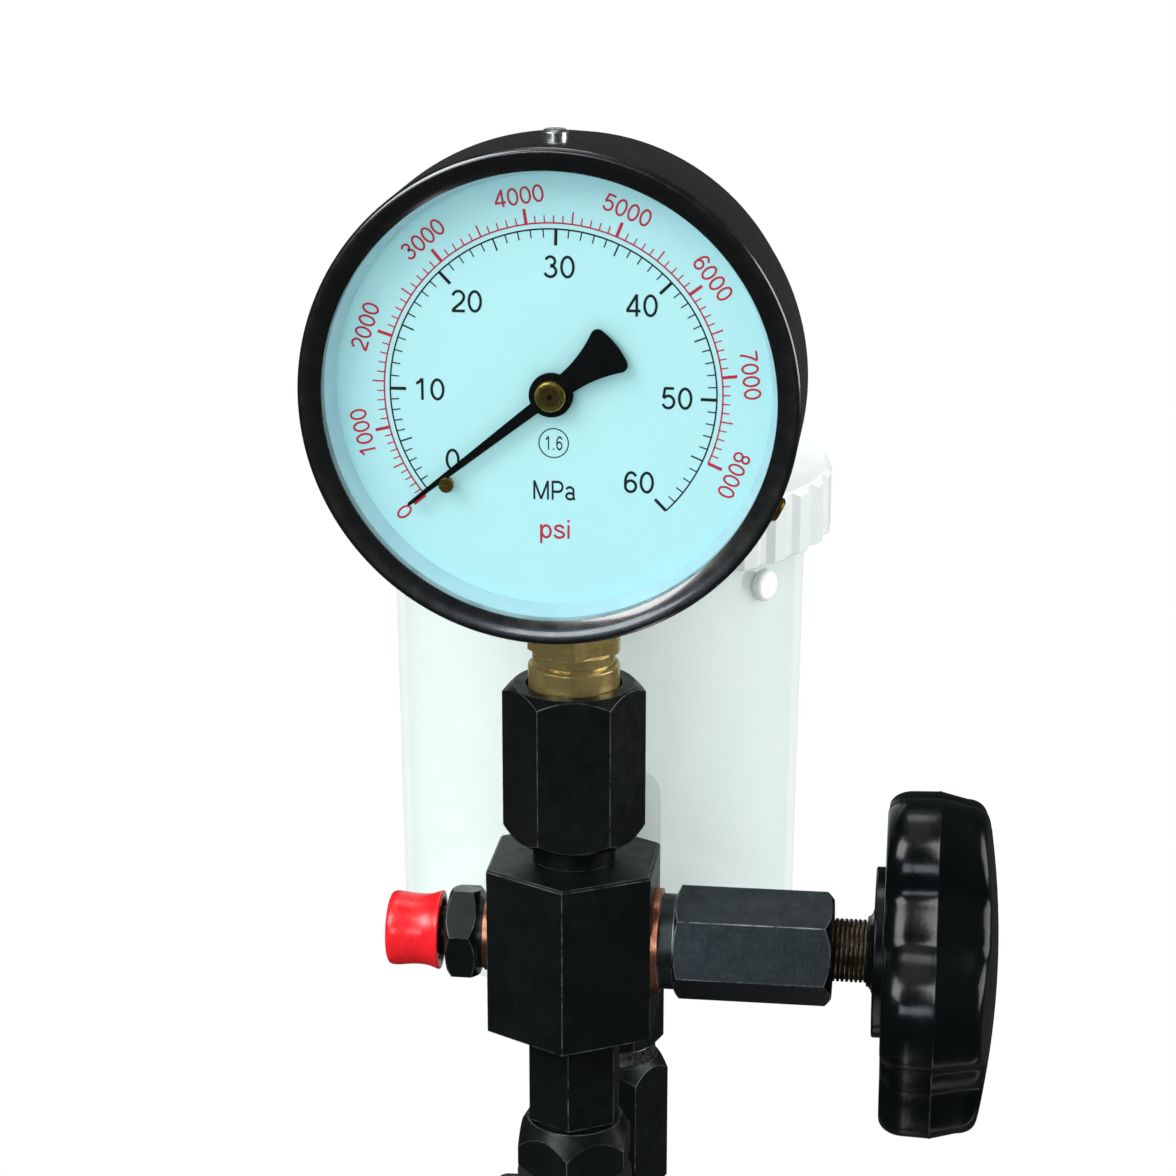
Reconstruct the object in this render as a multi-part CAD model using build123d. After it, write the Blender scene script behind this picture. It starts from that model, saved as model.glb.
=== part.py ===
# Diesel injector tester: a lever pump on a foot, with gauge, relief valve, injector outlet and fuel tank
# Millimetres; origin at the foot's underside on the column's axis, +Z up, gauge towards -Y, knob towards +X
import math
import os
from build123d import *

# clearances and small edges shared by several pieces
FIT = 0.03
FLAT_TURN_ANGLE = 30.0
GAP = 0.1
EDGE = 0.5

# foot and its screws
FOOT_W = 130.0
FOOT_FRONT = 52.0
FOOT_REAR = 62.0
FOOT_T = 12.0
FOOT_R = 14.0
BENCH_INSET = 13.0
BENCH_BORE = 9.0
SCREW_D = 6.0
SCREW_HEAD_D = 10.0
SCREW_HEAD_H = 6.0
SCREW_SOCKET = 5.0
SCREW_SOCKET_DEEP = 3.0
SCREW_REACH = 9.0
SCREW_SIDE = 9.0
SCREW_INSET = 6.5

# lever, roller, pins: the lengths that set the stroke
ARM = 24.0
REST_TILT_ANGLE = 15.7
ROD_TILT_ANGLE = 32.0
ROLLER_R = 8.0
ROLLER_W = 7.6
ROLLER_GAP = 0.044
FORK_RUN = 0.2
FORK_H = 11.0
FORK_DEEP = 10.0
PIN_R = 3.0
PIN_RUN = 0.04
LEVER_W = 14.8
LEVER_H = 13.0
LEVER_RUN = 0.2
HUB_R = 10.0
PIVOT_R = 5.0
PIVOT_X = ARM
PIVOT_HEAD_R = 8.0
PIVOT_HEAD_T = 3.0
PIVOT_TAIL = 4.0
CLIP_R = 8.0
CLIP_T = 1.2
CLIP_SLIT = 4.0
CLIP_DEEP = 1.0
SOCKET_R = 10.5
SOCKET_NEAR = 24.0
SOCKET_LEN = 34.0
ROD_R = 7.0
ROD_INTO = 28.0
ROD_FREE = 90.0
GRIP_R = 13.0
GRIP_LEN = 118.0
GRIP_END_T = 4.0
GRIP_EDGE = 4.0
GRIP_RINGS = 9
GRIP_RING_PITCH = 9.0
GRIP_RING_DEEP = 1.2
GRIP_RING_W = 2.4

# pump housing
FLANGE_LEFT_OUT = 18.0
FLANGE_RIGHT_OUT = 5.0
FLANGE_SIDE_OUT = 12.0
FLANGE_T = 10.0
FLANGE_CORNER = 8.0
BODY_HALF = 22.0
BODY_EDGE = 4.0
CHEEK_OUT = 13.0
CHEEK_H = 50.0
SLOT_FLOOR_T = 12.0
SLOT_LEFT = 14.0
PIVOT_UP = 18.45
NECK_R = 13.0
NECK_H = 15.0
NECK_EDGE = 1.6
BODY_ABOVE_THREAD = 8.0
CHEEK_RIGHT = PIVOT_X + CHEEK_OUT
FLANGE_LEFT = BODY_HALF + FLANGE_LEFT_OUT
FLANGE_RIGHT = CHEEK_RIGHT + FLANGE_RIGHT_OUT
FLANGE_Y = BODY_HALF + FLANGE_SIDE_OUT
SCREW_X = FLANGE_LEFT - SCREW_SIDE
SLOT_FLOOR = FOOT_T + SLOT_FLOOR_T
PIVOT_Z = SLOT_FLOOR + PIVOT_UP
SLOT_HALF = LEVER_W / 2 + LEVER_RUN
CHEEK_TOP = FOOT_T + CHEEK_H
STROKE = 2 * ARM * math.sin(math.radians(REST_TILT_ANGLE))

# tappet, plunger and spring, from the roller up
TAPPET_R = 12.95
TAPPET_RUN = 0.05
TAPPET_H = 32.9
TAPPET_FLOOR = 8.0
TAPPET_PAD_R = 7.0
TAPPET_PAD_H = 4.0
TAPPET_IN_R = 10.8
PLUNGER_R = 3.5
PLUNGER_RUN = 0.02
HEAD_R = 5.6
HEAD_T = 3.0
PLATE_RUN = 0.2
PLATE_T = 2.0
PLATE_SLOT_RUN = 0.3
SPRING_R = 8.7
WIRE_R = 0.9
SPRING_TURNS = 6.5
END_GAP = 0.5
POINTS_PER_TURN = 16
TAPPET_BOTTOM = PIVOT_Z - STROKE / 2 + ROLLER_R + ROLLER_GAP
TAPPET_TOP = TAPPET_BOTTOM + TAPPET_H
CAVITY_R = TAPPET_R + TAPPET_RUN
CAVITY_TOP = TAPPET_TOP + STROKE + GAP
PLATE_R = TAPPET_IN_R - PLATE_RUN
PLATE_BORE_R = PLUNGER_R + PLATE_SLOT_RUN

# barrel and delivery valve
BARREL_H = 34.0
SHOULDER_T = 4.0
NOSE_R = 6.2
NOSE_RUN = 0.2
NOSE_H = 6.0
BARREL_R = 8.08
BARREL_RUN = 0.02
INLET_UP = 11.0
INLET_HOLE_R = 2.0
INLET_PORT_R = 7.0
INLET_PORT_DEEP = 9.0
THREAD_R = 9.0
SEAT_R = 7.9
SEAT_BORE_R = 3.0
SEAT_T = 10.0
VALVE_STEM_R = 2.97
VALVE_HEAD_R = 3.6
VALVE_HEAD_H = 3.0
VALVE_STEM_H = 6.0
VALVE_SPRING_R = 3.0
VALVE_WIRE_R = 0.4
VALVE_TURNS = 6.0
STUD_BORE_R = 4.2
STUD_BORE_H = 20.0
GALLERY_R = 1.5
SHOULDER_Z = CAVITY_TOP + SHOULDER_T
BARREL_BORE_R = BARREL_R + BARREL_RUN
BARREL_TOP = SHOULDER_Z + BARREL_H
NOSE_BOTTOM = CAVITY_TOP - NOSE_H
NOSE_HOLE_R = NOSE_R + NOSE_RUN
INLET_Z = SHOULDER_Z + INLET_UP
PLUNGER_TOP = INLET_Z - INLET_HOLE_R
SEAT_TOP = BARREL_TOP + SEAT_T
THREAD_FLOOR = SEAT_TOP
BODY_TOP = THREAD_FLOOR + BODY_ABOVE_THREAD
NECK_TOP = BODY_TOP + NECK_H

# the column above the pump
NUT_AF = 24.0
NUT_H = 12.4
NUT_CONE_TOP_R = 10.7
NUT_CONE_TOP_H = 5.6
NUT_CONE_BOTTOM_R = 11.4
NUT_CONE_BOTTOM_H = 2.6
STUD_AF = 19.0
STUD_SHOW = 0.8
STUD_HEX_H = 23.5
STUD_SPIGOT_R = 6.5
STUD_SPIGOT_H = 8.0
BLOCK_AF = 36.0
BLOCK_H = 38.3
ADAPTER_R = 9.1
ADAPTER_H = 5.4
ADAPTER_LOW_R = 7.0
ADAPTER_LOW_H = 9.6
ADAPTER_UP_R = 6.0
ADAPTER_UP_H = 10.0
COUPLING_AF = 27.0
COUPLING_YAW_ANGLE = 7.1
COUPLING_H = 35.0
COUPLING_END_R = 13.2
COUPLING_CONE_H = 2.2
COUNTERBORE_RUN = 0.55
COUNTERBORE_DEEP = 5.6
STEM_THREAD_R = 7.0
STEM_THREAD_DEEP = 16.0
NUT_BOTTOM = NECK_TOP
NUT_TOP = NUT_BOTTOM + NUT_H
STUD_HEX_BOTTOM = NUT_TOP + STUD_SHOW
BLOCK_BOTTOM = STUD_HEX_BOTTOM + STUD_HEX_H
BLOCK_TOP = BLOCK_BOTTOM + BLOCK_H
PORT_Z = (BLOCK_BOTTOM + BLOCK_TOP) / 2
ADAPTER_TOP = BLOCK_TOP + ADAPTER_H
COUPLING_TOP = ADAPTER_TOP + COUPLING_H

# gauge stem
STEM_FLANGE_R = 9.95
STEM_FLANGE_H = 10.4
STEM_NECK_R = 8.5
STEM_NECK_H = 0.8
STEM_ROUND_R = 9.05
STEM_ROUND_H = 1.9
SHANK_AF = 16.7
SHANK_CORNER_R = 10.0
SHANK_YAW_ANGLE = 42.0
SHANK_H = 21.1
TUBE_BLOCK_X = 9.0
TUBE_BLOCK_FRONT = 9.0
TUBE_BLOCK_STEP = 6.0
TUBE_BLOCK_LOW_REAR = 7.5
TUBE_BLOCK_H = 17.0
TUBE_IN = 9.4
CASE_DROP = 4.8
COUNTERBORE_R = STEM_FLANGE_R + COUNTERBORE_RUN
STEM_FLANGE_BOTTOM = COUPLING_TOP - COUNTERBORE_DEEP
STEM_FLANGE_TOP = STEM_FLANGE_BOTTOM + STEM_FLANGE_H
STEM_NECK_TOP = STEM_FLANGE_TOP + STEM_NECK_H
STEM_ROUND_TOP = STEM_NECK_TOP + STEM_ROUND_H
SHANK_TOP = STEM_ROUND_TOP + SHANK_H
TUBE_BLOCK_TOP = SHANK_TOP + TUBE_BLOCK_H

# gauge case and what shuts it
CASE_R = 47.2
CASE_WALL = 1.2
CASE_BACK = 12.0
CASE_BACK_EDGE = 10.0
CASE_HOLE_RUN = 0.3
CASE_EDGE_STEPS = 6
LEDGE_IN = 3.6
LEDGE_T = 1.6
BEZEL_WALL = 2.37
BEZEL_SIDE = 26.5
BEZEL_OPENING_IN = 5.6
BEZEL_LIP = 1.6
BEZEL_EDGE = 1.2
BEZEL_BEND = 0.4
GLASS_RUN = 0.2
GLASS_T = 2.4
GASKET_T = 1.5
SKIRT_T = 1.0
SKIRT_H = 3.5
DIAL_RUN = 0.1
DIAL_T = 0.8
DIAL_HOLE_R = 3.2
DIAL_TO_STEM = 32.0
DIAL_FRONT = -DIAL_TO_STEM
GAUGE_UP = CASE_R - CASE_DROP
GAUGE_Z = SHANK_TOP + GAUGE_UP
CASE_IN_R = CASE_R - CASE_WALL
CASE_FRONT = DIAL_FRONT - SKIRT_H
GLASS_BACK = CASE_FRONT - GASKET_T
GLASS_FRONT = GLASS_BACK - GLASS_T
BEZEL_FRONT = GLASS_FRONT - BEZEL_LIP
BEZEL_REAR = BEZEL_FRONT + BEZEL_SIDE
BEZEL_IN_R = CASE_R + FIT
BEZEL_R = BEZEL_IN_R + BEZEL_WALL
BEZEL_OPENING_R = BEZEL_R - BEZEL_OPENING_IN
CASE_HOLE_R = SHANK_CORNER_R + CASE_HOLE_RUN
TUBE_BLOCK_REAR = CASE_BACK - CASE_WALL
LEDGE_Y = DIAL_FRONT + DIAL_T
GLASS_R = CASE_R - GLASS_RUN
DIAL_R = CASE_IN_R - DIAL_RUN
SKIRT_IN_R = DIAL_R - SKIRT_T

# pointer and stop
POINTER_CLEAR = 2.6
POINTER_T = 0.6
POINTER_SHORT = 8.5
POINTER_TAIL_R = 16.6
POINTER_TAIL_ANGLE = 20.0
POINTER_TAIL_ROUND = 1.4
POINTER_REST_ANGLE = 231.3
POINTER_COLLAR_R = 4.4
POINTER_ROOT_HALF = 2.2
POINTER_ROOT_BULGE = 0.6
POINTER_WAIST_HALF = 1.3
POINTER_END_HALF = 0.35
POINTER_POINT = 0.6
CAP_R = 3.1
CAP_T = 1.5
ARBOR_R = 1.0
ARBOR_RUN = 0.03
STOP_ANGLE = 228.4
STOP_IN = 17.9
STOP_R = 0.7
STOP_HEAD_R = 1.5
STOP_H = 4.0
STOP_HEAD_T = 1.0
POINTER_TIP_R = DIAL_R - POINTER_SHORT
POINTER_Y = DIAL_FRONT - POINTER_CLEAR
STOP_RADIUS = DIAL_R - STOP_IN
STOP_FRONT = DIAL_FRONT - STOP_H

# gauge tube and movement
TUBE_HALF_T = 1.8
TUBE_HALF_W = 5.2
TUBE_WALL = 0.5
TUBE_START_ANGLE = 84.0
TUBE_SWEEP_ANGLE = 256.0
TIP_BACK_ANGLE = 5.0
TIP_AHEAD_ANGLE = 3.0
MOVE_PLATE_T = 1.2
MOVE_PLATE_HALF = 12.0
MOVE_PLATE_ABOVE = 7.0
MOVE_PLATE_BELOW = 24.0
MOVE_GAP = 10.0
MOVE_FOOT_X = 8.0
MOVE_FOOT_T = 7.0
MOVE_FOOT_H = 8.0
POST_R = 1.6
POST_IN = 2.4
MODULE = 0.4
PINION_TEETH = 12
SECTOR_TEETH_FULL = 79
SECTOR_TEETH = 17
SECTOR_REST_TEETH = 4.5
DEDENDUM_SHARE = 1.25
TOOTH_PRESSURE_ANGLE = 20.0
TOOTH_PLAY = 0.03
GEAR_IN = 4.0
GEAR_T = 2.0
SECTOR_HUB_R = 2.2
SECTOR_TAIL_R = 6.5
SECTOR_TAIL_ANGLE = 20.1
SECTOR_PIN_R = 0.9
SECTOR_TAIL_HALF = 1.6
LINK_T = 1.0
LINK_HALF = 1.9
LINK_SLOT = 0.4
LINK_RUN = 0.06
TUBE_R = GAUGE_UP - TUBE_IN
PLATE_BACK_Y = -TUBE_BLOCK_FRONT - MOVE_FOOT_T
PLATE_FRONT_Y = PLATE_BACK_Y - MOVE_GAP
GEAR_Y = PLATE_FRONT_Y + GEAR_IN
ARBOR_REAR = PLATE_BACK_Y + MOVE_PLATE_T - GAP
POST_X = MOVE_PLATE_HALF - POST_IN

# gauge screws
BEZEL_SCREW_R = 2.6
BEZEL_SCREW_HEAD = 2.2
BEZEL_SCREW_SHANK_R = 1.4
BEZEL_SCREW_IN = 12.5
BEZEL_SCREW_SLOT = 0.7
BEZEL_SCREW_ANGLES = (0.0, 118.0, 242.0)
CASE_SCREW_UP = 14.0
CASE_SCREW_LEN = 10.0
BEZEL_SCREW_Y = BEZEL_REAR - BEZEL_SCREW_IN
CASE_SCREW_Z = SHANK_TOP + CASE_SCREW_UP
CASE_SCREW_TIP = CASE_BACK - CASE_SCREW_LEN

# injector outlet on the left
OUT_WASHER_R = 8.4
OUT_WASHER_T = 1.5
OUT_COLLAR_R = 7.95
OUT_COLLAR_T = 1.4
OUT_AF = 19.0
OUT_HEX_T = 6.7
OUT_HEX_CONE = 1.3
OUT_HEX_END_R = 9.4
OUT_HEX_ANGLE = 44.6
OUT_NECK_R = 5.3
OUT_NECK_T = 3.0
OUT_THREAD_R = 7.0
OUT_THREAD_T = 9.5
OUT_SPIGOT_R = 6.0
OUT_SPIGOT_T = 9.8
OUT_CONE_R = 3.4
OUT_CONE_DEEP = 3.2
SOFT_RUN = 0.05
SOFT_WALL = 1.1
SOFT_TAPER = 0.4
SOFT_RIM = 0.65
SOFT_RIM_T = 1.4
SOFT_TOP_T = 1.2
SOFT_LEN = 11.9
SOFT_RIDGE_SHARES = (0.35, 0.62)
SOFT_RIDGE_R = 0.45

# relief valve on the right
VALVE_WASHER_R = 11.6
VALVE_WASHER_T = 1.5
VALVE_COLLAR_R = 10.5
VALVE_COLLAR_T = 3.3
VALVE_AF = 22.0
VALVE_HEX_T = 34.4
VALVE_HEX_ANGLE = 13.5
VALVE_END_R = 10.9
VALVE_CONE = 1.5
VALVE_BACK_CONE = 0.9
VALVE_SPIGOT_R = 8.0
VALVE_SPIGOT_T = 13.5
SEAT_HOLE_T = 3.5
SPINDLE_R = 6.97
SPINDLE_BORE_T = 30.2
SPINDLE_BACK = 7.0
SPINDLE_SHOW = 8.5
NEEDLE_R = 2.0
NEEDLE_RUN = 0.05
NEEDLE_TAIL_R = 3.2
NEEDLE_TAIL_T = 5.0
NEEDLE_OPEN = 0.8
NEEDLE_CONE = 3.0
KNOB_T = 24.7
KNOB_LOBES = 5
KNOB_LOBE_R = 14.0
KNOB_LOBE_AT = 26.0
KNOB_CORE_R = 32.0
KNOB_VALLEY_R = 6.0
KNOB_EDGE = 3.5
KNOB_REAR_EDGE = 1.75
KNOB_DOME = 5.0
KNOB_DOME_MID = 1.25
KNOB_BOSS_R = 18.6
KNOB_BOSS_T = 2.7
KNOB_FLARE_R = 13.0
KNOB_FLARE_TIP_R = 8.0
KNOB_FLARE_T = 2.4
KNOB_FLARE_SHARES = ((0, 0), (0.35, 0.06), (0.65, 0.22), (0.87, 0.52), (1, 1))
KNOB_STUD_R = 5.0
KNOB_STUD_DEEP = 17.0
BLOCK_FACE = BLOCK_AF / 2
VALVE_SEAT_X = BLOCK_FACE + VALVE_WASHER_T
VALVE_HEX_X = VALVE_SEAT_X + VALVE_COLLAR_T
VALVE_HEX_END = VALVE_HEX_X + VALVE_HEX_T
VALVE_START = BLOCK_FACE - VALVE_SPIGOT_T
SEAT_HOLE_X = VALVE_START + SEAT_HOLE_T
NEEDLE_TIP_X = SEAT_HOLE_X + NEEDLE_OPEN
SPINDLE_BORE_END = VALVE_HEX_END - SPINDLE_BORE_T
SPINDLE_START = SPINDLE_BORE_END + SPINDLE_BACK
SPINDLE_END = VALVE_HEX_END + SPINDLE_SHOW
KNOB_NEAR = SPINDLE_END + KNOB_BOSS_T

# tank and its pipe
TANK_X = -3.8
TANK_Y = 77.0
TANK_H = 117.1
TANK_R_LOW = 48.2
TANK_R_TOP = 49.4
TANK_WALL = 2.0
TANK_EDGE = 6.0
TANK_EDGE_STEPS = 5
TANK_BEAD = 3.2
TANK_BEAD_H = 8.6
TANK_BOSS_R = 15.0
TANK_BOSS_H = 7.0
LID_H = 15.0
LID_RUN = 0.25
LID_SKIRT = 2.55
LID_RIB = 1.1
LID_RIBS = 36
LID_RIB_SHARES = ((0.1, 0), (0.3, 1), (0.7, 1), (0.9, 0))
LID_WALL = 2.4
LID_EDGE = 1.5
VENT_ANGLE = -33.7
VENT_DOWN = 19.6
VENT_R = 3.7
VENT_OUT = 2.2
VENT_SEAT = 0.5
VENT_SHANK_R = 2.4
VENT_SHANK_IN = 4.0
FITTING_AF = 22.0
FITTING_H = 25.0
FITTING_END_R = 10.6
FITTING_CONE = 1.4
FITTING_SPIGOT_R = 7.0
FITTING_SPIGOT_UP = 24.0
FITTING_LOW_R = 9.45
FITTING_LOW_H = 13.5
TANK_NUT_AF = 19.0
TANK_NUT_T = 6.0
FILTER_R = 11.5
FILTER_WALL = 1.6
FILTER_H = 30.5
FILTER_EDGE = 5.0
STACK_WASHER_R = 10.6
STACK_WASHER_T = 4.0
UNION_AF = 24.0
UNION_UP = 10.2
UNION_H = 36.3
UNION_LIP = 3.8
UNION_END_R = 11.0
UNION_CONE_TOP = 4.0
UNION_CONE_BOTTOM = 2.4
RISER_R = 8.0
RISER_COLLAR_T = 6.9
RISER_COLLAR_RUN = 0.05
ARM_R = 8.0
ARM_COLLAR_R = 11.0
ARM_COLLAR_T = 8.0
FUEL_R = 3.0
UNION_BOTTOM = INLET_Z + UNION_UP
UNION_TOP = UNION_BOTTOM + UNION_H
FITTING_BOTTOM = UNION_TOP + STACK_WASHER_T
FITTING_TOP = FITTING_BOTTOM + FITTING_H
FITTING_LOW_Z = FITTING_BOTTOM - FITTING_LOW_H
RISER_TOP = FITTING_LOW_Z - GAP
TANK_BOSS_BOTTOM = FITTING_TOP
TANK_BOTTOM = TANK_BOSS_BOTTOM + TANK_BOSS_H
TANK_FLOOR = TANK_BOTTOM + TANK_WALL
TANK_TOP = TANK_BOTTOM + TANK_H
TANK_BEAD_R = TANK_R_TOP + TANK_BEAD
LID_TOP = TANK_TOP + LID_WALL
LID_BOTTOM = LID_TOP - LID_H
LID_R = TANK_BEAD_R + LID_RUN + LID_SKIRT
VENT_Z = TANK_TOP - VENT_DOWN


def cyl_z(radius, bottom, top, x=0, y=0):
    return Pos(x, y, (bottom + top) / 2) * Cylinder(radius, abs(top - bottom))


def cyl_x(radius, near, far, y=0, z=0):
    return Pos((near + far) / 2, y, z) * Rot(0, 90, 0) * Cylinder(radius, abs(far - near))


def cyl_y(radius, near, far, x=0, z=0):
    return Pos(x, (near + far) / 2, z) * Rot(90, 0, 0) * Cylinder(radius, abs(far - near))


def block(x0, x1, y0, y1, z0, z1):
    mid = Pos((x0 + x1) / 2, (y0 + y1) / 2, (z0 + z1) / 2)
    return mid * Box(x1 - x0, y1 - y0, z1 - z0)


def turned(points):
    # one closed half-outline of (radius, height) turned about the upright axis
    outline = Polyline(*[(r, 0, z) for r, z in points], close=True)
    return revolve(make_face(outline), Axis.Z, 360)


def hexagon(across, bottom, top, turn=0):
    # a corner points to -Y when turn is 0
    half = across / math.sqrt(3)
    face = RegularPolygon(half, 6, rotation=FLAT_TURN_ANGLE + turn)
    return Pos(0, 0, bottom) * extrude(face, top - bottom)


def cone_ends(across, bottom, top, end_r, cone_top, cone_bottom, turn=0):
    # a hexagon whose ends are turned to cones, as on a nut
    wide = across / math.sqrt(3) + GAP
    outline = [(0, bottom), (end_r if cone_bottom else wide, bottom), (wide, bottom + cone_bottom)]
    outline += [(wide, top - cone_top), (end_r if cone_top else wide, top), (0, top)]
    if not cone_bottom:
        outline.pop(2)
    if not cone_top:
        outline.pop(-3)
    return hexagon(across, bottom, top, turn) & turned(outline)


def on_dial(angle, radius):
    # a place on the dial, the angle clockwise from the top
    a = math.radians(angle)
    return radius * math.sin(a), GAUGE_Z + radius * math.cos(a)


def spring(radius, wire, bottom, top, turns):
    # closed end turns and a wide middle, as one unbroken wire on arcs
    low = bottom + wire
    high = top - wire
    steps = int(turns * POINTS_PER_TURN)
    closed = 2 * wire + END_GAP
    ease_share = 1 / turns
    rest = (high - low) - 2 * closed
    points = []
    for i in range(steps + 1):
        s = i / steps
        if s < ease_share:
            z = low + closed * s / ease_share
        elif s > 1 - ease_share:
            z = high - closed * (1 - s) / ease_share
        else:
            z = low + closed + rest * (s - ease_share) / (1 - 2 * ease_share)
        a = 2 * math.pi * turns * s
        points.append((radius * math.cos(a), radius * math.sin(a), z))
    return points


def wound(points, wire, name):
    # the wire swept along a smooth line through the points, with its least gap printed
    per_turn = POINTS_PER_TURN
    least = min(points[i + per_turn][2] - points[i][2] for i in range(len(points) - per_turn))
    print(f"{name}: least gap between turns {least - 2 * wire:.2f} mm")
    path = Spline(*points)
    section = Plane(origin=path @ 0, z_dir=path % 0) * Circle(wire)
    return sweep(section, path=path)


def make_foot():
    depth = FOOT_FRONT + FOOT_REAR
    plate = Pos(0, (FOOT_REAR - FOOT_FRONT) / 2, 0) * extrude(RectangleRounded(FOOT_W, depth, FOOT_R), FOOT_T)
    side = FOOT_W / 2 - BENCH_INSET
    for x in (-side, side):
        for y in (BENCH_INSET - FOOT_FRONT, FOOT_REAR - BENCH_INSET):
            plate -= cyl_z(BENCH_BORE / 2, 0, FOOT_T, x, y)
    for x, y in screw_places():
        plate -= cyl_z(SCREW_D / 2, 0, FOOT_T, x, y)
    return plate


def screw_places():
    side = FLANGE_Y - SCREW_INSET
    return [(x, y) for x in (-SCREW_X, SCREW_X) for y in (-side, side)]


def make_foot_screw(x, y):
    seat = FOOT_T + FLANGE_T
    head = cyl_z(SCREW_HEAD_D / 2, seat, seat + SCREW_HEAD_H, x, y)
    shank = cyl_z(SCREW_D / 2, FOOT_T - SCREW_REACH, seat, x, y)
    top = seat + SCREW_HEAD_H
    socket = Pos(x, y, top - SCREW_SOCKET_DEEP) * hexagon(SCREW_SOCKET, 0, SCREW_SOCKET_DEEP)
    return head + shank - socket


def make_housing():
    low = FOOT_T
    flange = block(-FLANGE_LEFT, FLANGE_RIGHT, -FLANGE_Y, FLANGE_Y, low, low + FLANGE_T)
    flange = fillet(flange.edges().filter_by(Axis.Z), FLANGE_CORNER)
    tower = block(-BODY_HALF, BODY_HALF, -BODY_HALF, BODY_HALF, low, BODY_TOP)
    tower = fillet(tower.edges().filter_by(Axis.Z), BODY_EDGE)
    tower = chamfer(tower.faces().sort_by(Axis.Z)[-1].edges(), NECK_EDGE)
    cheeks = block(0, CHEEK_RIGHT, -BODY_HALF, BODY_HALF, low, CHEEK_TOP)
    cheeks = fillet(cheeks.edges().filter_by(Axis.Y).sort_by(Axis.X)[-2:], BODY_EDGE)
    neck = cyl_z(NECK_R, BODY_TOP, NECK_TOP)
    neck = chamfer(neck.edges().sort_by(Axis.Z)[-1], NECK_EDGE)
    body = flange + tower + cheeks + neck
    body -= cyl_z(CAVITY_R, SLOT_FLOOR, CAVITY_TOP)
    body -= cyl_z(NOSE_HOLE_R, CAVITY_TOP, SHOULDER_Z)
    body -= cyl_z(BARREL_BORE_R, SHOULDER_Z, THREAD_FLOOR)
    body -= cyl_z(THREAD_R, THREAD_FLOOR, NECK_TOP)
    body -= block(-SLOT_LEFT, CHEEK_RIGHT, -SLOT_HALF, SLOT_HALF, SLOT_FLOOR, CHEEK_TOP)
    body -= cyl_y(PIVOT_R + FIT, -BODY_HALF, BODY_HALF, PIVOT_X, PIVOT_Z)
    body -= cyl_y(INLET_PORT_R, BODY_HALF - INLET_PORT_DEEP, BODY_HALF, 0, INLET_Z)
    body -= cyl_y(INLET_HOLE_R, 0, BODY_HALF, 0, INLET_Z)
    for x, y in screw_places():
        body -= cyl_z(SCREW_D / 2 + GAP, low, low + FLANGE_T, x, y)
    return body


def make_barrel():
    body = cyl_z(BARREL_R, SHOULDER_Z, BARREL_TOP) + cyl_z(NOSE_R, NOSE_BOTTOM, SHOULDER_Z)
    body -= cyl_z(PLUNGER_R + PLUNGER_RUN, NOSE_BOTTOM, BARREL_TOP)
    return body - cyl_y(INLET_HOLE_R, 0, BODY_HALF, 0, INLET_Z)


def make_plunger():
    foot = TAPPET_BOTTOM + TAPPET_FLOOR
    return cyl_z(PLUNGER_R, foot, PLUNGER_TOP) + cyl_z(HEAD_R, foot, foot + HEAD_T)


def make_spring_plate():
    seat = TAPPET_BOTTOM + TAPPET_FLOOR + HEAD_T
    ring = cyl_z(PLATE_R, seat, seat + PLATE_T) - cyl_z(PLATE_BORE_R, seat, seat + PLATE_T)
    return ring - block(0, PLATE_R, -PLATE_BORE_R, PLATE_BORE_R, seat, seat + PLATE_T)


def make_tappet():
    skirt = TAPPET_BOTTOM + TAPPET_PAD_H
    cup = cyl_z(TAPPET_R, skirt, TAPPET_TOP)
    cup = chamfer(cup.edges().filter_by(GeomType.CIRCLE), EDGE)
    cup += cyl_z(TAPPET_PAD_R, TAPPET_BOTTOM, skirt)
    return cup - cyl_z(TAPPET_IN_R, TAPPET_BOTTOM + TAPPET_FLOOR, TAPPET_TOP)


def make_plunger_spring():
    bottom = TAPPET_BOTTOM + TAPPET_FLOOR + HEAD_T + PLATE_T
    return wound(spring(SPRING_R, WIRE_R, bottom, CAVITY_TOP, SPRING_TURNS), WIRE_R, "plunger spring")


def make_delivery_seat():
    body = cyl_z(SEAT_R, BARREL_TOP, SEAT_TOP)
    return body - cyl_z(SEAT_BORE_R, BARREL_TOP, SEAT_TOP)


def make_delivery_valve():
    stem = cyl_z(VALVE_STEM_R, SEAT_TOP - VALVE_STEM_H, SEAT_TOP)
    return stem + cyl_z(VALVE_HEAD_R, SEAT_TOP, SEAT_TOP + VALVE_HEAD_H)


def make_delivery_spring():
    bottom = SEAT_TOP + VALVE_HEAD_H
    points = spring(VALVE_SPRING_R, VALVE_WIRE_R, bottom, THREAD_FLOOR + STUD_BORE_H, VALVE_TURNS)
    return wound(points, VALVE_WIRE_R, "delivery spring")


def make_pressure_stud():
    top = BLOCK_BOTTOM
    body = hexagon(STUD_AF, STUD_HEX_BOTTOM, top)
    body += cyl_z(THREAD_R, THREAD_FLOOR, STUD_HEX_BOTTOM)
    body += cyl_z(STUD_SPIGOT_R, top, top + STUD_SPIGOT_H)
    body -= cyl_z(STUD_BORE_R, THREAD_FLOOR, THREAD_FLOOR + STUD_BORE_H)
    return body - cyl_z(GALLERY_R, THREAD_FLOOR, top + STUD_SPIGOT_H)


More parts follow.
